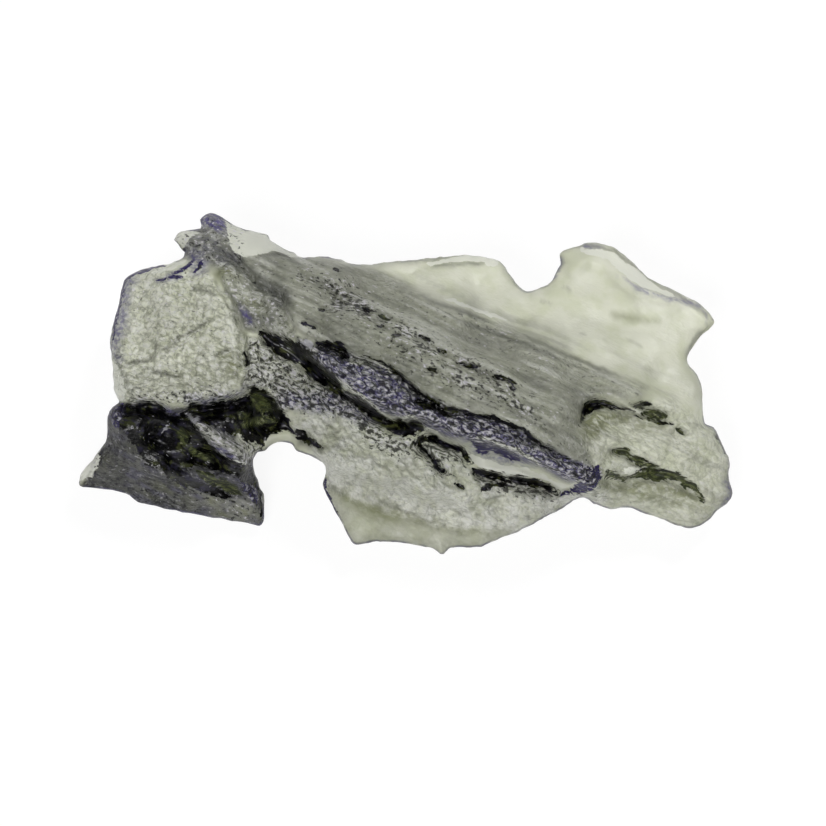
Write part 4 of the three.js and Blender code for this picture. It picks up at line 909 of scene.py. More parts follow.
def nearest(line, u, v):
    """The nearest place on an open line: its distance, the side it is passed on (positive to the left of
    the line's direction), and how far along the line it is, from 0 to 1."""
    best = np.full(u.shape, np.inf)
    side = np.ones(u.shape)
    share = np.zeros(u.shape)
    walked = 0.0
    for (ax, ay), (bx, by) in zip(line, line[1:]):
        dx, dy = bx - ax, by - ay
        length = math.hypot(dx, dy)
        t = np.clip(((u - ax) * dx + (v - ay) * dy) / length**2, 0, 1)
        distance = np.hypot(u - ax - t * dx, v - ay - t * dy)
        closer = distance < best
        best = np.where(closer, distance, best)
        side = np.where(closer, np.where(dx * (v - ay) >= dy * (u - ax), 1.0, -1.0), side)
        share = np.where(closer, walked + t * length, share)
        walked += length
    return best, side, share / walked


def ends(share):
    """Both ends of a line fade in over END_FADE of its length."""
    return smooth(np.minimum(share, 1 - share) / END_FADE)


def inside(area, u, v, softness):
    """A half on a closed outline, with a straight ramp to 1 inside and 0 outside over softness."""
    closed = area + area[:1]
    odd = np.zeros(u.shape, bool)
    for (ax, ay), (bx, by) in zip(closed, closed[1:]):
        if ay != by:
            odd ^= ((ay > v) != (by > v)) & (u < ax + (v - ay) / (by - ay) * (bx - ax))
    distance = nearest(closed, u, v)[0]
    return np.clip(0.5 + np.where(odd, distance, -distance) / (2 * softness), 0, 1)


def within(area, u, v, softness):
    """1 inside a closed outline and 0 outside it, along an S-curve."""
    return smooth(inside(area, u, v, softness))


def lattice_noise(x, y, seed):
    """Random heights from -1 to 1 at whole numbers, blended along S-curves in between. The seed picks
    the pattern."""
    size = NOISE_PERIOD
    heights = np.random.default_rng(seed).uniform(-1, 1, (size, size))
    i, j = np.floor(x).astype(int), np.floor(y).astype(int)
    s, t = smooth(x - i), smooth(y - j)
    low = heights[i % size, j % size] * (1 - s) + heights[(i + 1) % size, j % size] * s
    high = heights[i % size, (j + 1) % size] * (1 - s) + heights[(i + 1) % size, (j + 1) % size] * s
    return low * (1 - t) + high * t


def rough_noise(x, y, seed, octaves=3):
    """A sum of lattice noises, each twice as fine and half as strong as the one before."""
    layers = [lattice_noise(x * 2**k, y * 2**k, seed + k) / 2**k for k in range(octaves)]
    return sum(layers) / (2 - 0.5 ** (octaves - 1))


def cells(x, y, seed):
    """One random point to each unit square: the distance to the nearest, and how much further the next is."""
    size = NOISE_PERIOD
    shift = np.random.default_rng(seed).uniform(0, 1, (2, size, size))
    i, j = np.floor(x).astype(int), np.floor(y).astype(int)
    first = np.full(x.shape, np.inf)
    second = np.full(x.shape, np.inf)
    for a in (-1, 0, 1):
        for b in (-1, 0, 1):
            p, q = (i + a) % size, (j + b) % size
            distance = np.hypot(i + a + shift[0, p, q] - x, j + b + shift[1, p, q] - y)
            second = np.minimum(second, np.maximum(first, distance))
            first = np.minimum(first, distance)
    return first, second - first


def ledge_height(ledge, u, v):
    """A step of tanh across the line that dies away behind it as a bell curve, less a bell-shaped groove
    along its foot."""
    line, rise, reach, groove, width = ledge
    distance, side, share = nearest(line, u, v)
    across = distance * side
    step = 0.5 * (1 + np.tanh(2 * across / width))
    back = np.exp(-((np.maximum(across, 0) / reach) ** 2))
    foot = np.exp(-(((across + 0.6 * width) / width) ** 2))
    return ends(share) * (rise * step * back - groove * foot)


def rib_height(rib, u, v):
    """A bell curve across the line."""
    line, rise, width = rib
    distance, _, share = nearest(line, u, v)
    return ends(share) * rise * np.exp(-((distance / width) ** 2))


def bowl(hollow, u, v):
    """A bowl on an ellipse, deepest in the middle and level at its edge, along an S-curve."""
    (mu, mv), (along_radius, across_radius), turn, depth = hollow
    c, s = math.cos(math.radians(turn)), math.sin(math.radians(turn))
    along = ((u - mu) * c + (v - mv) * s) / along_radius
    across = ((v - mv) * c - (u - mu) * s) / across_radius
    return depth * (1 - smooth(np.hypot(along, across)))


def broad_heights(u, v):
    """The heights in HEIGHTS blended by bell curves of HEIGHT_SPREAD around their places, and the fallback
    heights where no bell curve reaches."""
    weight = np.full(u.shape, 1e-12)
    top, under = FALLBACK_TOP * weight, FALLBACK_UNDER * weight
    for place_u, place_v, place_top, place_under in HEIGHTS:
        w = np.exp(-((u - place_u) ** 2 + (v - place_v) ** 2) / HEIGHT_SPREAD**2)
        weight += w
        top += w * place_top
        under += w * place_under
    return top / weight, under / weight


def outline_side(side):
    """The points of one side of the outline, and the index in them of each station."""
    points, marks = [], []
    for station in STATIONS:
        points += station[side]
        marks.append(len(points) - 1)
    return points, marks


FAR, NEAR = outline_side(0), outline_side(4)


def whole_outline():
    """The outline as one closed line, finely divided."""
    far, near = (along_curve(p, np.arange(0, len(p) - 1, OUTLINE_STEP)) for p, _ in (FAR, NEAR))
    line = [tuple(p) for p in np.concatenate([far, near[::-1]])]
    return [p for before, p in zip([None] + line, line) if p != before]


OUTLINE = whole_outline()


def grid_places(rows):
    """The places on a grid of columns and rows. The columns are evenly spread along the stone. Each runs
    from the far outline over the shoulder, the spine and the hip to the near outline, in straight
    stretches whose rows crowd towards the outline."""
    inner = [np.array([station[ring] for station in STATIONS]) for ring in (1, 2, 3)]
    steps = np.mean([np.hypot(*np.diff(points, axis=0).T) for points in inner], 0)
    walked = np.concatenate([[0], np.cumsum(steps)])
    stations = np.arange(len(STATIONS))
    column = np.interp(np.linspace(0, walked[-1], COLUMNS + 1), walked, stations)
    rings = [along_curve(FAR[0], np.interp(column, stations, FAR[1]))]
    rings += [np.stack([np.interp(column, stations, points[:, k]) for k in (0, 1)], 1) for points in inner]
    rings.append(along_curve(NEAR[0], np.interp(column, stations, NEAR[1])))
    places = [rings[0][:, None]]
    for k, count in enumerate(rows):
        share = np.arange(1, count + 1) / count
        if k == 0:
            share = share**CROWD
        if k == 3:
            share = 1 - (1 - share) ** CROWD
        places.append(rings[k][:, None] + (rings[k + 1] - rings[k])[:, None] * share[None, :, None])
    return np.concatenate(places, 1)


def flow(u, v):
    """Distances along and across the direction of the striations, which waver a little."""
    along = u * math.cos(FLOW_ANGLE) + v * math.sin(FLOW_ANGLE)
    across = v * math.cos(FLOW_ANGLE) - u * math.sin(FLOW_ANGLE)
    return along, across + 0.35 * lattice_noise(along / 3.1, across / 2.2, 11)


def band(line, half_width, u, v):
    """A bell curve across a line, faded at its ends."""
    distance, _, share = nearest(line, u, v)
    return ends(share) * np.exp(-((distance / half_width) ** 2))


def around(points, margin, u, v):
    """The places within a margin of the box around some points."""
    low, high = np.min(points, 0) - margin, np.max(points, 0) + margin
    return (u > low[0]) & (u < high[0]) & (v > low[1]) & (v < high[1])


def patches(areas, softness, u, v):
    """The most that any of the closed outlines covers each place: a half on the outline, and a straight
    ramp to 1 inside and 0 outside."""
    covered = np.zeros(u.shape)
    for area in areas.values():
        near = around(area, 2 * softness, u, v)
        covered[near] = np.maximum(covered[near], inside(area, u[near], v[near], softness))
    return covered


def strokes(lines, half_width, softness, u, v):
    """The most that any of the lines covers each place. A line is half_width either side of its middle
    and tapers to its ends. Across its edge the cover falls along a straight ramp."""
    covered = np.zeros(u.shape)
    for line in lines.values():
        near = around(line, half_width + 2 * softness, u, v)
        distance, _, share = nearest(line, u[near], v[near])
        taper = smooth(np.minimum(share, 1 - share) / LINE_TAPER)
        reach = half_width * ((1 + LINE_POINT) * taper - LINE_POINT)
        cover = np.clip(0.5 + (reach - distance) / (2 * softness), 0, 1)
        covered[near] = np.maximum(covered[near], cover)
    return covered


def strongest(*covers):
    """The most of several covers at each place."""
    return np.maximum.reduce(covers)


def area_covers(u, v):
    """How much each area of the stone covers each place. The areas' edges wander with a slow noise."""
    moved_u = u + 0.22 * rough_noise(u / 0.9, v / 0.9, 21)
    moved_v = v + 0.22 * rough_noise(u / 0.9, v / 0.9, 31)
    covers = {name: within(area, moved_u, moved_v, softness) for name, (area, softness) in AREAS.items()}
    furrows = sum(band(line, width, u, v) for line, width in SPECKLED_FURROWS)
    covers["furrows"] = np.clip(furrows, 0, 1)
    covers["foot rib"] = band(FOOT_RIB, 0.38, u, v)
    covers["apron"] *= 1 - covers["hem"]
    covers["foot"] *= 1 - covers["facet"]
    return covers


def weighed(covers, weights):
    """A sum over the areas, each with its own weight."""
    return sum(weight * covers[name] for name, weight in weights.items())


def fine_relief(u, v, covers):
    """Striations on the ridge, cells and cracks on the block, granules on the apron, lumps on the rib
    and pits in the furrows, each kept to its own area, and the lips and pits drawn one by one."""
    along, across = flow(u, v)
    ridge = 0.12 * rough_noise(along / STRIATION[0], across / STRIATION[1], 41)
    jagged = rough_noise(along / 0.4, across / 0.2, 51, 3)
    bent_u = u + 0.22 * rough_noise(u / 0.6, v / 0.6, 63)
    bent_v = v + 0.22 * rough_noise(u / 0.6, v / 0.6, 67)
    first, edge = cells(bent_u / CELL_SIZE, bent_v / CELL_SIZE, 61)
    block = 0.09 * (1 - smooth(first / 0.8)) - 0.08 * (1 - smooth(edge / 0.2)) + 0.03
    block += 0.10 * rough_noise(u / 1.1, v / 1.1, 65) + 0.05 * rough_noise(u / 0.22, v / 0.22, 69, 2)
    _, crack = cells(u / 1.5, v / 1.3, 155)
    block -= 0.1 * (1 - smooth(crack / 0.09)) * ramp(rough_noise(u / 1.2, v / 1.2, 157), -0.1, 0.2)
    granule, _ = cells(u / GRANULE_SIZE, v / GRANULE_SIZE, 71)
    apron = 0.14 * (1 - smooth(granule / 0.75)) + 0.26 * rough_noise(u / 0.9, v / 0.7, 75) - 0.04
    lumps, gaps = cells(along / (1.5 * LUMP_SIZE), across / LUMP_SIZE, 81)
    lumpy = 0.2 * (1 - smooth(lumps / 0.8)) - 0.12 * (1 - smooth(gaps / 0.25)) + 0.2 * jagged
    streaks = rough_noise(along / 1.6, across / 0.3, 91)
    drawn = (
        0.10 * strokes(LIP_LINES, 0.12, 0.12, u, v)
        - 0.16 * strokes(MARK_LINES, 0.1, 0.1, u, v)
        - 0.16 * strokes(DARK_LINES, 0.1, 0.12, u, v)
        - 0.14 * strokes(CRACK_LINES, 0.07, 0.09, u, v)
        - 0.05 * strokes(TICK_LINES, 0.06, 0.1, u, v)
        - 0.3 * smooth(patches(DARK_AREAS, 0.22, u, v))
        - 0.2 * smooth(patches(OLIVE_AREAS, 0.22, u, v))
    )
    return (
        drawn
        + covers["ridge"] * (ridge + 0.05 * jagged)
        + covers["knob"] * 0.16 * jagged
        + covers["furrows"] * (0.2 * jagged - 0.04)
        + covers["block"] * block
        + covers["apron"] * apron
        + (covers["rib"] + covers["bumpy"] + 0.6 * covers["bulb"]) * lumpy
        + covers["foot"] * 0.22 * streaks
        + covers["foot rib"] * 0.15 * jagged
        + covers["facet"] * 0.12 * rough_noise(along / 0.6, across / 0.22, 95)
        + covers["lobe"] * 0.12 * rough_noise(along / 1.3, across / 0.35, 97)
        + covers["sheet"] * (0.04 * rough_noise(u / 1.5, v / 0.9, 99) + 0.02 * streaks)
    )


def surface_heights(u, v, covers):
    """Heights of the top and of the underside. Each starts at the shared rim, opens as a quarter circle
    and adds its ledges, ribs and hollows, faded out at the rim. The underside rests on the table. Gives
    both, how far each place is from the rim, and the fine relief."""
    inward = nearest(OUTLINE, u, v)[0]
    top, under = broad_heights(u, v)
    thick = top - under
    fade = smooth(inward / RELIEF_FADE)
    relief = sum(ledge_height(x, u, v) for x in LEDGES) + sum(rib_height(x, u, v) for x in RIBS)
    relief -= sum(bowl(x, u, v) for x in HOLLOWS)
    fine = fine_relief(u, v, covers)
    over = under + thick * (RIM_SHARE + (1 - RIM_SHARE) * rounded(inward / TOP_EDGE))
    over += fade * relief + smooth(inward / FINE_FADE) * fine
    pits = sum(bowl(x, u, v) for x in UNDER_HOLLOWS) + 0.12 * rough_noise(u / 0.9, v / 0.7, 111)
    below = under + thick * RIM_SHARE * (1 - rounded(inward / UNDER_EDGE)) + fade * pits
    below = np.maximum(below, 0)
    return np.maximum(over, below + LEAST_WALL * fade), below, inward, fine


def top_tints(u, v, inward, covers, fine):
    """How far each tint covers the places of the top, from 0 to 1: finishes of the glass, painted shade and
    painted highlights. The drawn shapes end on ragged edges, because the places are moved a little by a noise
    before they are looked up. Crests of the fine relief are frosted and get painted highlight, and its pits
    get painted shade."""
    along, across = flow(u, v)
    moved_u = u + 0.10 * rough_noise(u / 0.3, v / 0.3, 121)
    moved_v = v + 0.10 * rough_noise(u / 0.3, v / 0.3, 131)
    moved = (moved_u, moved_v)
    cloud = rough_noise(u / 1.3, v / 1.0, 141)
    blobs = rough_noise(u / 0.6, v / 0.5, 145)
    streaks = rough_noise(along / 3.0, across / 0.22, 147)
    clusters = ramp(rough_noise(along / 1.2, across / 0.6, 149), -0.3, 0.2)
    facet_grain = rough_noise(along / 0.8, across / 0.3, 163)
    covers = dict(covers, furrows=covers["furrows"] * (0.4 + 0.6 * clusters))
    crest, pit = ramp(fine, 0.03, 0.2), ramp(-fine, 0.02, 0.18)
    rim = (1 - ramp(inward, 0.03, 0.13)) * ramp(rough_noise(u / 0.5, v / 0.5, 151), -0.5, 0.2)
    rim *= 1 - 0.85 * covers["sheet"]
    faint = strokes(FAINT_LINES, 0.09, 0.12, *moved)
    violet_lines = strokes(VIOLET_LINES, 0.1, 0.12, *moved)
    peppered = patches(PEPPER_AREAS, 0.3, *moved)
    sheet_streaks = band(SHEET_LINE, 0.8, u, v) * ramp(streaks, -0.1, 0.25)
    # Painted shade on the foot's facet, darkest at its left end, mottled by a grain.
    facet_shade = 1.2 - 0.75 * ramp(u, -13.5, -8.0) + 0.2 * cloud - 0.5 * facet_grain
    # Painted shade, near black, in the crevices, hollows, furrows and pits.
    dark = strongest(
        patches(DARK_AREAS, 0.2, *moved),
        strokes(DARK_LINES, 0.11, 0.12, *moved),
        0.9 * strokes(MARK_LINES, 0.11, 0.12, *moved),
    )
    # Painted shade in SHADE_AREAS, on the facet and in the pits of the fine relief; the rest darkens the rim,
    # the cracks and scratches, the foot and streaks on the ridge, lobe and sheet.
    shade = strongest(
        0.8 * patches(SHADE_AREAS, 0.2, *moved),
        0.75 * rim,
        0.75 * faint,
        strokes(CRACK_LINES, 0.08, 0.09, *moved),
        0.4 * strokes(TICK_LINES, 0.05, 0.08, *moved),
        covers["facet"] * facet_shade,
        0.3 * covers["ridge"] * ramp(streaks, 0.1, 0.5),
        0.85 * covers["foot"] * (1 - covers["foot rib"]),
        0.35 * covers["lobe"] * ramp(streaks, 0.05, 0.4),
        0.4 * covers["sheet"] * sheet_streaks,
        pit * weighed(covers, PIT_SHADE),
    )
    moss = strongest(patches(MOSS_AREAS, 0.25, *moved), 0.8 * covers["facet"] * ramp(facet_grain, 0, 0.2))
    violet = strongest(0.85 * patches(VIOLET_AREAS, 0.2, *moved), violet_lines, 0.6 * rim)
    violet += weighed(covers, VIOLET) * (1 + cloud) + 0.2 * covers["facet"] * ramp(-facet_grain, 0.1, 0.4)
    indigo = strongest(patches(INDIGO_AREAS, 0.2, *moved), strokes(INDIGO_LINES, 0.09, 0.1, *moved))
    grey = weighed(covers, GREY) + covers["ridge"] * 0.25 * streaks + 0.1 * cloud
    grey = grey * (1 - 0.75 * sheet_streaks) + 0.35 * patches(GREY_AREAS, 0.25, *moved)
    # Frost: white blobs on the apron, clouds on the sheet, the ridge's striations, and the crests of the fine
    # relief, where it is partly painted highlight.
    frost_and_highlight = covers["apron"] * (0.15 + 0.85 * ramp(blobs, -0.2, 0.2)) + crest * weighed(covers, CREST_FROST_AND_HIGHLIGHT)
    frost_and_highlight += covers["sheet"] * 0.15 * ramp(cloud, 0, 0.5) + 0.45 * covers["ridge"] * ramp(-streaks, 0.15, 0.5)
    pale = strongest(patches(PALE_AREAS, 0.15, *moved), strokes(LIP_LINES, 0.08, 0.09, *moved))
    gleam = strongest(patches(GLEAM_AREAS, 0.12, *moved), 0.85 * strokes(GLEAM_LINES, 0.05, 0.1, *moved))
    return {
        "dark": dark,
        "shade": shade,
        "olive": patches(OLIVE_AREAS, 0.18, *moved),
        "moss": 0.85 * moss,
        "violet": violet,
        "indigo": indigo,
        "grey": grey,
        "frost_and_highlight": frost_and_highlight,
        "pale": pale * (1 - strongest(faint, violet_lines)),
        "speck": weighed(covers, SPECK) + 0.8 * peppered + 0.4 * indigo,
        "pepper": weighed(covers, PEPPER) + peppered + 0.8 * indigo,
        "cells": weighed(covers, CELLS) + 0.25 * peppered,
        "gleam": gleam,
    }


def under_tints(u, v, covers):
    """The same for the underside, which is plainer: grey where the glass is thick, pale and pitted."""
    cloud = rough_noise(u / 1.3, v / 1.0, 171)
    pits = ramp(rough_noise(u / 0.4, v / 0.3, 181, 4), 0.25, 0.5)
    thick = covers["ridge"] + covers["rib"] + covers["foot"] + covers["facet"] + 0.6 * covers["bulb"]
    none = np.zeros(u.shape)
    made = {name: none for name in TINTS}
    made["shade"] = 0.5 * pits
    made["moss"] = 0.255 * ramp(cloud, 0.1, 0.5)
    made["violet"] = 0.3 * ramp(-cloud, 0.1, 0.5) * thick
    made["grey"] = 0.6 * thick + 0.15 * cloud
    made["frost_and_highlight"] = 0.4 * ramp(cloud, -0.2, 0.4)
    made["speck"] = 0.2 + none
    made["cells"] = 0.25 + 0.2 * cloud
    return made


def moldavite_mesh():
    """The closed stone: both grids of places lifted to their heights and put into space, sharing the
    outline's points, with each tip drawn together in one point. Places are moved sideways by a fine
    noise so that the outline is slightly ragged."""
    points, colours, indices = [], [], []
    count = 0
    for under, rows in enumerate((TOP_ROWS, UNDER_ROWS)):
        grid = grid_places(rows)
        u, v = grid[..., 0].ravel(), grid[..., 1].ravel()
        covers = area_covers(u, v)
        over, below, inward, fine = surface_heights(u, v, covers)
        z = below if under else over
        ragged = OUTLINE_RAGGED * (1 - smooth(inward / 0.8))
        moved_u = u + ragged * rough_noise(u / 0.35, v / 0.35, 191)
        moved_v = v + ragged * rough_noise(u / 0.35, v / 0.35, 201)
        y = (moved_v - z * math.cos(VIEW_ELEVATION)) / math.sin(VIEW_ELEVATION)
        points.append(np.stack([moved_u, y, z], 1))
        made = under_tints(u, v, covers) if under else top_tints(u, v, inward, covers, fine)
        colours.append(np.stack([made[name] for name in TINTS], 1))
        index = np.arange(u.size).reshape(grid.shape[:2]) + count
        if under:
            index[:, 0], index[:, -1] = indices[0][:, 0], indices[0][:, -1]
        tips = indices[0] if under else index
        index[0, :], index[-1, :] = tips[0, 0], tips[-1, 0]
        indices.append(index)
        count += u.size
    triangles = []
    for under, index in enumerate(indices):
        a, b, c, d = index[:-1, :-1], index[:-1, 1:], index[1:, 1:], index[1:, :-1]
        pairs = ((a, c, b), (a, d, c)) if under else ((a, b, c), (a, c, d))
        triangles += [np.stack(t, -1).reshape(-1, 3) for t in pairs]
    triangles = np.concatenate(triangles)
    distinct = (triangles[:, 0] != triangles[:, 1]) & (triangles[:, 1] != triangles[:, 2])
    triangles = triangles[distinct & (triangles[:, 2] != triangles[:, 0])]
    used, packed = np.unique(triangles, return_inverse=True)
    colours = np.clip(np.concatenate(colours)[used], 0, 1)
    return np.concatenate(points)[used], packed.reshape(-1, 3), colours


def build_moldavite(low, high):
    """Makes the stone's object. Its box is centred on the box that the frame gives. Gives the object and
    how far its places were moved for that."""
    points, triangles, colours = moldavite_mesh()
    middle = (points.min(0) + points.max(0)) / 2
    shift = np.array([low.x + high.x, low.y + high.y]) / 2 / MM - middle[:2]
    points[:, :2] += shift
    mesh = bpy.data.meshes.new("moldavite_surface")
    mesh.vertices.add(len(points))
    mesh.vertices.foreach_set("co", (points * MM).astype(np.float32).ravel())
    mesh.loops.add(triangles.size)
    mesh.loops.foreach_set("vertex_index", triangles.astype(np.int32).ravel())
    mesh.polygons.add(len(triangles))
    mesh.polygons.foreach_set("loop_start", np.arange(0, triangles.size, 3, dtype=np.int32))
    mesh.polygons.foreach_set("use_smooth", np.ones(len(triangles), bool))
    for k, name in enumerate(TINTS):
        attribute = mesh.attributes.new(name, "FLOAT", "POINT")
        attribute.data.foreach_set("value", colours[:, k].astype(np.float32))
    mesh.update(calc_edges=True)
    mesh.validate()
    stone = bpy.data.objects.new("moldavite_stone", mesh)
    bpy.context.scene.collection.objects.link(stone)
    return stone, shift


def add(tree, kind, sockets, output=0, **settings):
    """Adds a node with its settings, and gives one of its outputs. Each socket gets a link from another
    node's output, or a plain value."""
    node = tree.nodes.new(kind)
    for name, value in settings.items():
        setattr(node, name, value)
    for socket, value in sockets.items():
        if isinstance(value, bpy.types.NodeSocket):
            tree.links.new(value, node.inputs[socket])
        else:
            node.inputs[socket].default_value = value
    return node.outputs[output] if node.outputs else None


def moldavite_glass():
    """Moldavite: natural silica glass, etched in the ground. It lets light through, greyer and greener the
    thicker it is. The etching leaves it satin, with glints on the edges of pits and furrows, partly painted
    as white specks and bright grains. Painted shade darkens its crevices, hollows and pits."""
    material = bpy.data.materials.new("etched_moldavite_glass")
    material.use_nodes = True
    tree = material.node_tree
    tree.nodes.clear()
    tint = {name: add(tree, "ShaderNodeAttribute", {}, "Fac", attribute_name=name) for name in TINTS}
    place = add(tree, "ShaderNodeTexCoord", {}, "Object")

    def sized(size, stretch):
        """The sockets of a mapping whose unit is a real size in millimetres, longer along the striations."""
        scale = (size * stretch * MM, size * MM, size * MM)
        return {"Vector": place, "Rotation": (0, 0, FLOW_ANGLE), "Scale": scale}

    def grains(size, detail, stretch):
        """Noise with grains of a real size."""
        where = add(tree, "ShaderNodeMapping", sized(size, stretch), vector_type="TEXTURE")
        sockets = {"Vector": where, "Scale": 1.0, "Detail": detail, "Roughness": 0.6}
        return add(tree, "ShaderNodeTexNoise", sockets)

    def granules(size, stretch):
        """How deep inside its granule each place is: 0 along the joints between granules, which a noise of
        half their size makes uneven."""
        even = add(tree, "ShaderNodeMapping", sized(size, 1.0), vector_type="TEXTURE")
        drawn_out = add(tree, "ShaderNodeMapping", sized(size, stretch), vector_type="TEXTURE")
        bend = add(tree, "ShaderNodeTexNoise", {"Vector": even, "Scale": 2.0, "Detail": 2.0}, "Color")
        sockets = {0: bend, 1: (0.5, 0.5, 0.5), 2: drawn_out}
        bent = add(tree, "ShaderNodeVectorMath", sockets, operation="MULTIPLY_ADD")
        return add(tree, "ShaderNodeTexVoronoi", {"Vector": bent, "Scale": 1.0}, feature="DISTANCE_TO_EDGE")

    def following(cover, grain, low, high, least=0.0, most=1.0):
        """A cover times a share that follows a grain along an S-curve, from least at low to most at high."""
        sockets = {"Value": grain, "From Min": low, "From Max": high, "To Min": least, "To Max": most}
        share = add(tree, "ShaderNodeMapRange", sockets, interpolation_type="SMOOTHSTEP")
        return add(tree, "ShaderNodeMath", {0: cover, 1: share}, operation="MULTIPLY")

    def ragged(cover, grain, amount, most=1.0):
        """A drawn shape with a crisp edge, where it covers about half, that a grain makes ragged."""
        edge = add(tree, "ShaderNodeMath", {0: grain, 1: amount, 2: cover}, operation="MULTIPLY_ADD")
        return following(most, edge, 0.44 + amount / 2, 0.58 + amount / 2)

    def layered(colour, layers):
        """The colour turned towards the colour of each layer by its factor, one after another."""
        for factor, over in layers:
            over = hex_colour(over) if isinstance(over, str) else over
            colour = add(tree, "ShaderNodeMix", {0: factor, 6: colour, 7: over}, 2, data_type="RGBA")
        return colour

    fine_grit = grains(FINE_GRIT_SIZE, 1.0, 1.7)
    grit = grains(GRIT_SIZE, 2.0, 2.2)
    fleck = grains(FLECK_SIZE, 2.0, 1.6)
    grain = grains(GRAIN_SIZE, 2.0, 1.5)
    mottle = grains(MOTTLE_SIZE, 3.0, 1.6)
    granule = granules(JOINTED_SIZE, 1.3)
    dark = ragged(tint["dark"], grit, 1.6)
    olive = ragged(tint["olive"], grit, 1.6)
    speckled = following(1.0, tint["speck"], 0.02, 0.2)

    # White specks and bright grains are painted highlights on the lit edges of pits, so glass with painted
    # shade has fewer.
    lit_speckled = following(speckled, tint["shade"], 0.3, 0.9, 1.0, 0.35)
    lit_cells = following(tint["cells"], tint["shade"], 0.3, 0.9, 1.0, 0.35)
    white_reach = add(tree, "ShaderNodeMath", {0: tint["speck"], 1: 0.12, 2: fleck}, operation="MULTIPLY_ADD")
    sockets = {0: tint["speck"], 1: -0.09, 2: fleck}
    black_reach = add(tree, "ShaderNodeMath", sockets, operation="MULTIPLY_ADD")
    sockets = {0: tint["pepper"], 1: -0.1, 2: black_reach}
    black_reach = add(tree, "ShaderNodeMath", sockets, operation="MULTIPLY_ADD")

    # The layers of colour from the bare glass up, each with where it lies, painted light and shade among
    # them.
    surface = [
        (following(1.0, grains(CLOUD_SIZE, 3.0, 1.0), 0.4, 0.65), "D8DBC2"),
        (following(tint["grey"], mottle, 0.3, 0.7, 0.75, 1.0), "6F7063"),
        # Yellow-green, which below brows and in folds is soft painted shade.
        (tint["moss"], "74784A"),
        # Frost, partly painted highlight on the crests of the fine relief.
        (following(tint["frost_and_highlight"], grit, 0.35, 0.6, 0.6, 1.0), "FAFAF5"),
        # Painted shade, with dark cracks, scratches and streaks.
        (following(tint["shade"], grit, 0.35, 0.6, 1.0, 0.85), "0C0D0D"),
        (following(tint["cells"], granule, 0.0, 0.14, 0.65, 0.0), "55584A"),
        (following(tint["cells"], grain, 0.36, 0.48, 0.6, 0.0), "4C4F46"),
        # Painted highlight on the lit grains.
        (following(lit_cells, grain, 0.5, 0.62, 0.0, 0.75), "FCFCF8"),
        (following(tint["violet"], grit, 0.38, 0.6, 0.35, 0.9), "33257C"),
        (ragged(tint["pale"], grit, 0.8), "F4F5EB"),
        (ragged(tint["indigo"], grit, 1.2), "0A0440"),
        # Painted glints as white specks, then painted shade in pits as black specks.
        (following(lit_speckled, white_reach, 0.64, 0.74, 0.0, 0.85), "EFEAF7"),
        (following(speckled, black_reach, 0.26, 0.34, 0.95, 0.0), "060509"),
    ]
    # Inside the hollows' painted shade: dark violet and olive mottling and a few painted glints.
    in_hollows = [
        (following(1.0, mottle, 0.54, 0.68), "0E0C20"),
        (following(1.0, grains(PATCH_SIZE, 2.0, 2.0), 0.57, 0.69), "22260A"),
        (following(1.0, fine_grit, 0.73, 0.79), "C8C4D8"),
    ]
    in_olive = [
        (following(1.0, grit, 0.4, 0.56), "12160A"),
        (following(1.0, fleck, 0.6, 0.7), "7E8258"),
    ]
    # Drawn on top: near-black painted shade in crevices and hollows, olive patches dark with painted shade,
    # and painted glints.
    drawn = [
        (dark, layered(hex_colour("000000"), in_hollows)),
        (olive, layered(hex_colour("464E24"), in_olive)),
        (ragged(tint["gleam"], fine_grit, 1.4, 0.7), "C4C2D2"),
    ]
    colour = layered(hex_colour("E5E6D5"), surface + drawn)

    # The etching: grit, deepest where the glass is grey, frosted or specked, and rounded granules.
    etched = add(tree, "ShaderNodeMath", {0: tint["grey"], 1: tint["frost_and_highlight"]}, operation="ADD")
    etched = add(tree, "ShaderNodeMath", {0: tint["speck"], 1: 2.0, 2: etched}, operation="MULTIPLY_ADD")
    uneven = add(tree, "ShaderNodeMath", {0: grit, 1: 1.5, 2: fine_grit}, operation="MULTIPLY_ADD")
    uneven = following(uneven, etched, 0.0, 1.6, 0.12, 1.0)
    rounded_grains = following(tint["cells"], granule, 0.0, 0.35, 0.0, 0.7)
    height = add(tree, "ShaderNodeMath", {0: uneven, 1: rounded_grains}, operation="ADD")
    height = following(height, dark, 0.0, 1.0, 1.0, 0.3)
    bump = add(tree, "ShaderNodeBump", {"Height": height, "Strength": 1.0, "Distance": ETCH_DEPTH * MM})
    satin = following(1.0, mottle, 0.3, 0.7, 0.38, 0.55)
    satin = add(tree, "ShaderNodeMath", {0: dark, 1: -0.15, 2: satin}, operation="MULTIPLY_ADD")
    glass = add(
        tree,
        "ShaderNodeBsdfPrincipled",
        {
            "Base Color": colour,
            "Roughness": satin,
            "Normal": bump,
            "Transmission Weight": 0.65,
            "Specular IOR Level": 0.15,
            "IOR": 1.49,
        },
    )
    absorb = add(tree, "ShaderNodeVolumeAbsorption", {"Color": hex_colour("CCD0C4"), "Density": 150.0})
    add(tree, "ShaderNodeOutputMaterial", {"Surface": glass, "Volume": absorb})
    return material


def table_paper():
    """Matt white paper, lit from below as well as from above: even and pale."""
    material = bpy.data.materials.new("matt_white_paper")
    material.use_nodes = True
    shader = material.node_tree.nodes["Principled BSDF"]
    shader.inputs["Base Color"].default_value = hex_colour("5A5A5A")
    shader.inputs["Roughness"].default_value = 0.9
    shader.inputs["Specular IOR Level"].default_value = 0.1
    shader.inputs["Emission Color"].default_value = hex_colour("FFFFFF")
    shader.inputs["Emission Strength"].default_value = 0.9
    return material


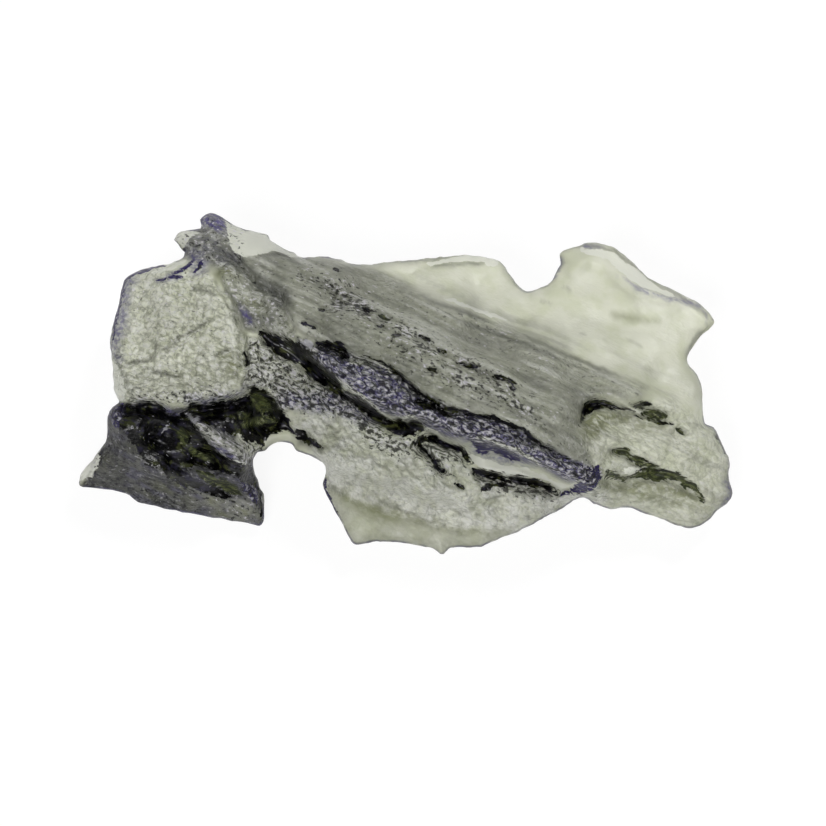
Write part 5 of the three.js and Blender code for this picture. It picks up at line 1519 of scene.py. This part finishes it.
def build_table():
    """A large flat sheet a hair under the stone."""
    mesh = bpy.data.meshes.new("table_sheet")
    corners = [(x * TABLE_HALF, y * TABLE_HALF, -TABLE_DROP) for x, y in ((-1, -1), (1, -1), (1, 1), (-1, 1))]
    mesh.from_pydata(corners, [], [(0, 1, 2, 3)])
    table = bpy.data.objects.new("table", mesh)
    bpy.context.scene.collection.objects.link(table)
    table.data.materials.append(table_paper())
    return table


def add_lamp(name, place, size, power):
    """A square soft lamp of that width, facing the stone."""
    light = bpy.data.lights.new(name, "AREA")
    light.shape = "SQUARE"
    light.size = size
    light.energy = power
    lamp = bpy.data.objects.new(name, light)
    lamp.location = place
    lamp.rotation_euler = (-Vector(place)).to_track_quat("-Z", "Y").to_euler()
    bpy.context.scene.collection.objects.link(lamp)


def light_studio():
    """An even pale dome and two small soft lamps, one high behind the stone and one high before it, that
    make the glints."""
    world = bpy.data.worlds.new("pale_dome")
    bpy.context.scene.world = world
    world.use_nodes = True
    background = world.node_tree.nodes["Background"]
    background.inputs["Color"].default_value = hex_colour("FFFFFF")
    background.inputs["Strength"].default_value = DOME_STRENGTH
    for lamp in LAMPS:
        add_lamp(*lamp)


def add_camera(shift):
    """A long lens at VIEW_ELEVATION, aimed at PICTURE_MIDDLE after the stone's shift to the frame's box."""
    u, v = PICTURE_MIDDLE
    y = (v - MIDDLE_HEIGHT * math.cos(VIEW_ELEVATION)) / math.sin(VIEW_ELEVATION)
    aim = Vector((u + shift[0], y + shift[1], MIDDLE_HEIGHT)) * MM
    back = Vector((0, -math.cos(VIEW_ELEVATION), math.sin(VIEW_ELEVATION)))
    data = bpy.data.cameras.new("camera")
    data.lens = LENS
    data.sensor_width = SENSOR
    data.clip_start = 0.01
    data.clip_end = 10
    camera = bpy.data.objects.new("camera", data)
    camera.location = aim + back * (PICTURE_WIDTH * MM * LENS / SENSOR)
    camera.rotation_euler = back.to_track_quat("Z", "Y").to_euler()
    bpy.context.scene.collection.objects.link(camera)
    bpy.context.scene.camera = camera


bpy.context.scene.view_settings.view_transform = "Standard"
table = build_table()
light_studio()

moldavite, stone_shift = build_moldavite(cad_low, cad_high)
moldavite.data.materials.append(moldavite_glass())
add_camera(stone_shift)
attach(moldavite, "root")
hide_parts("moldavite")
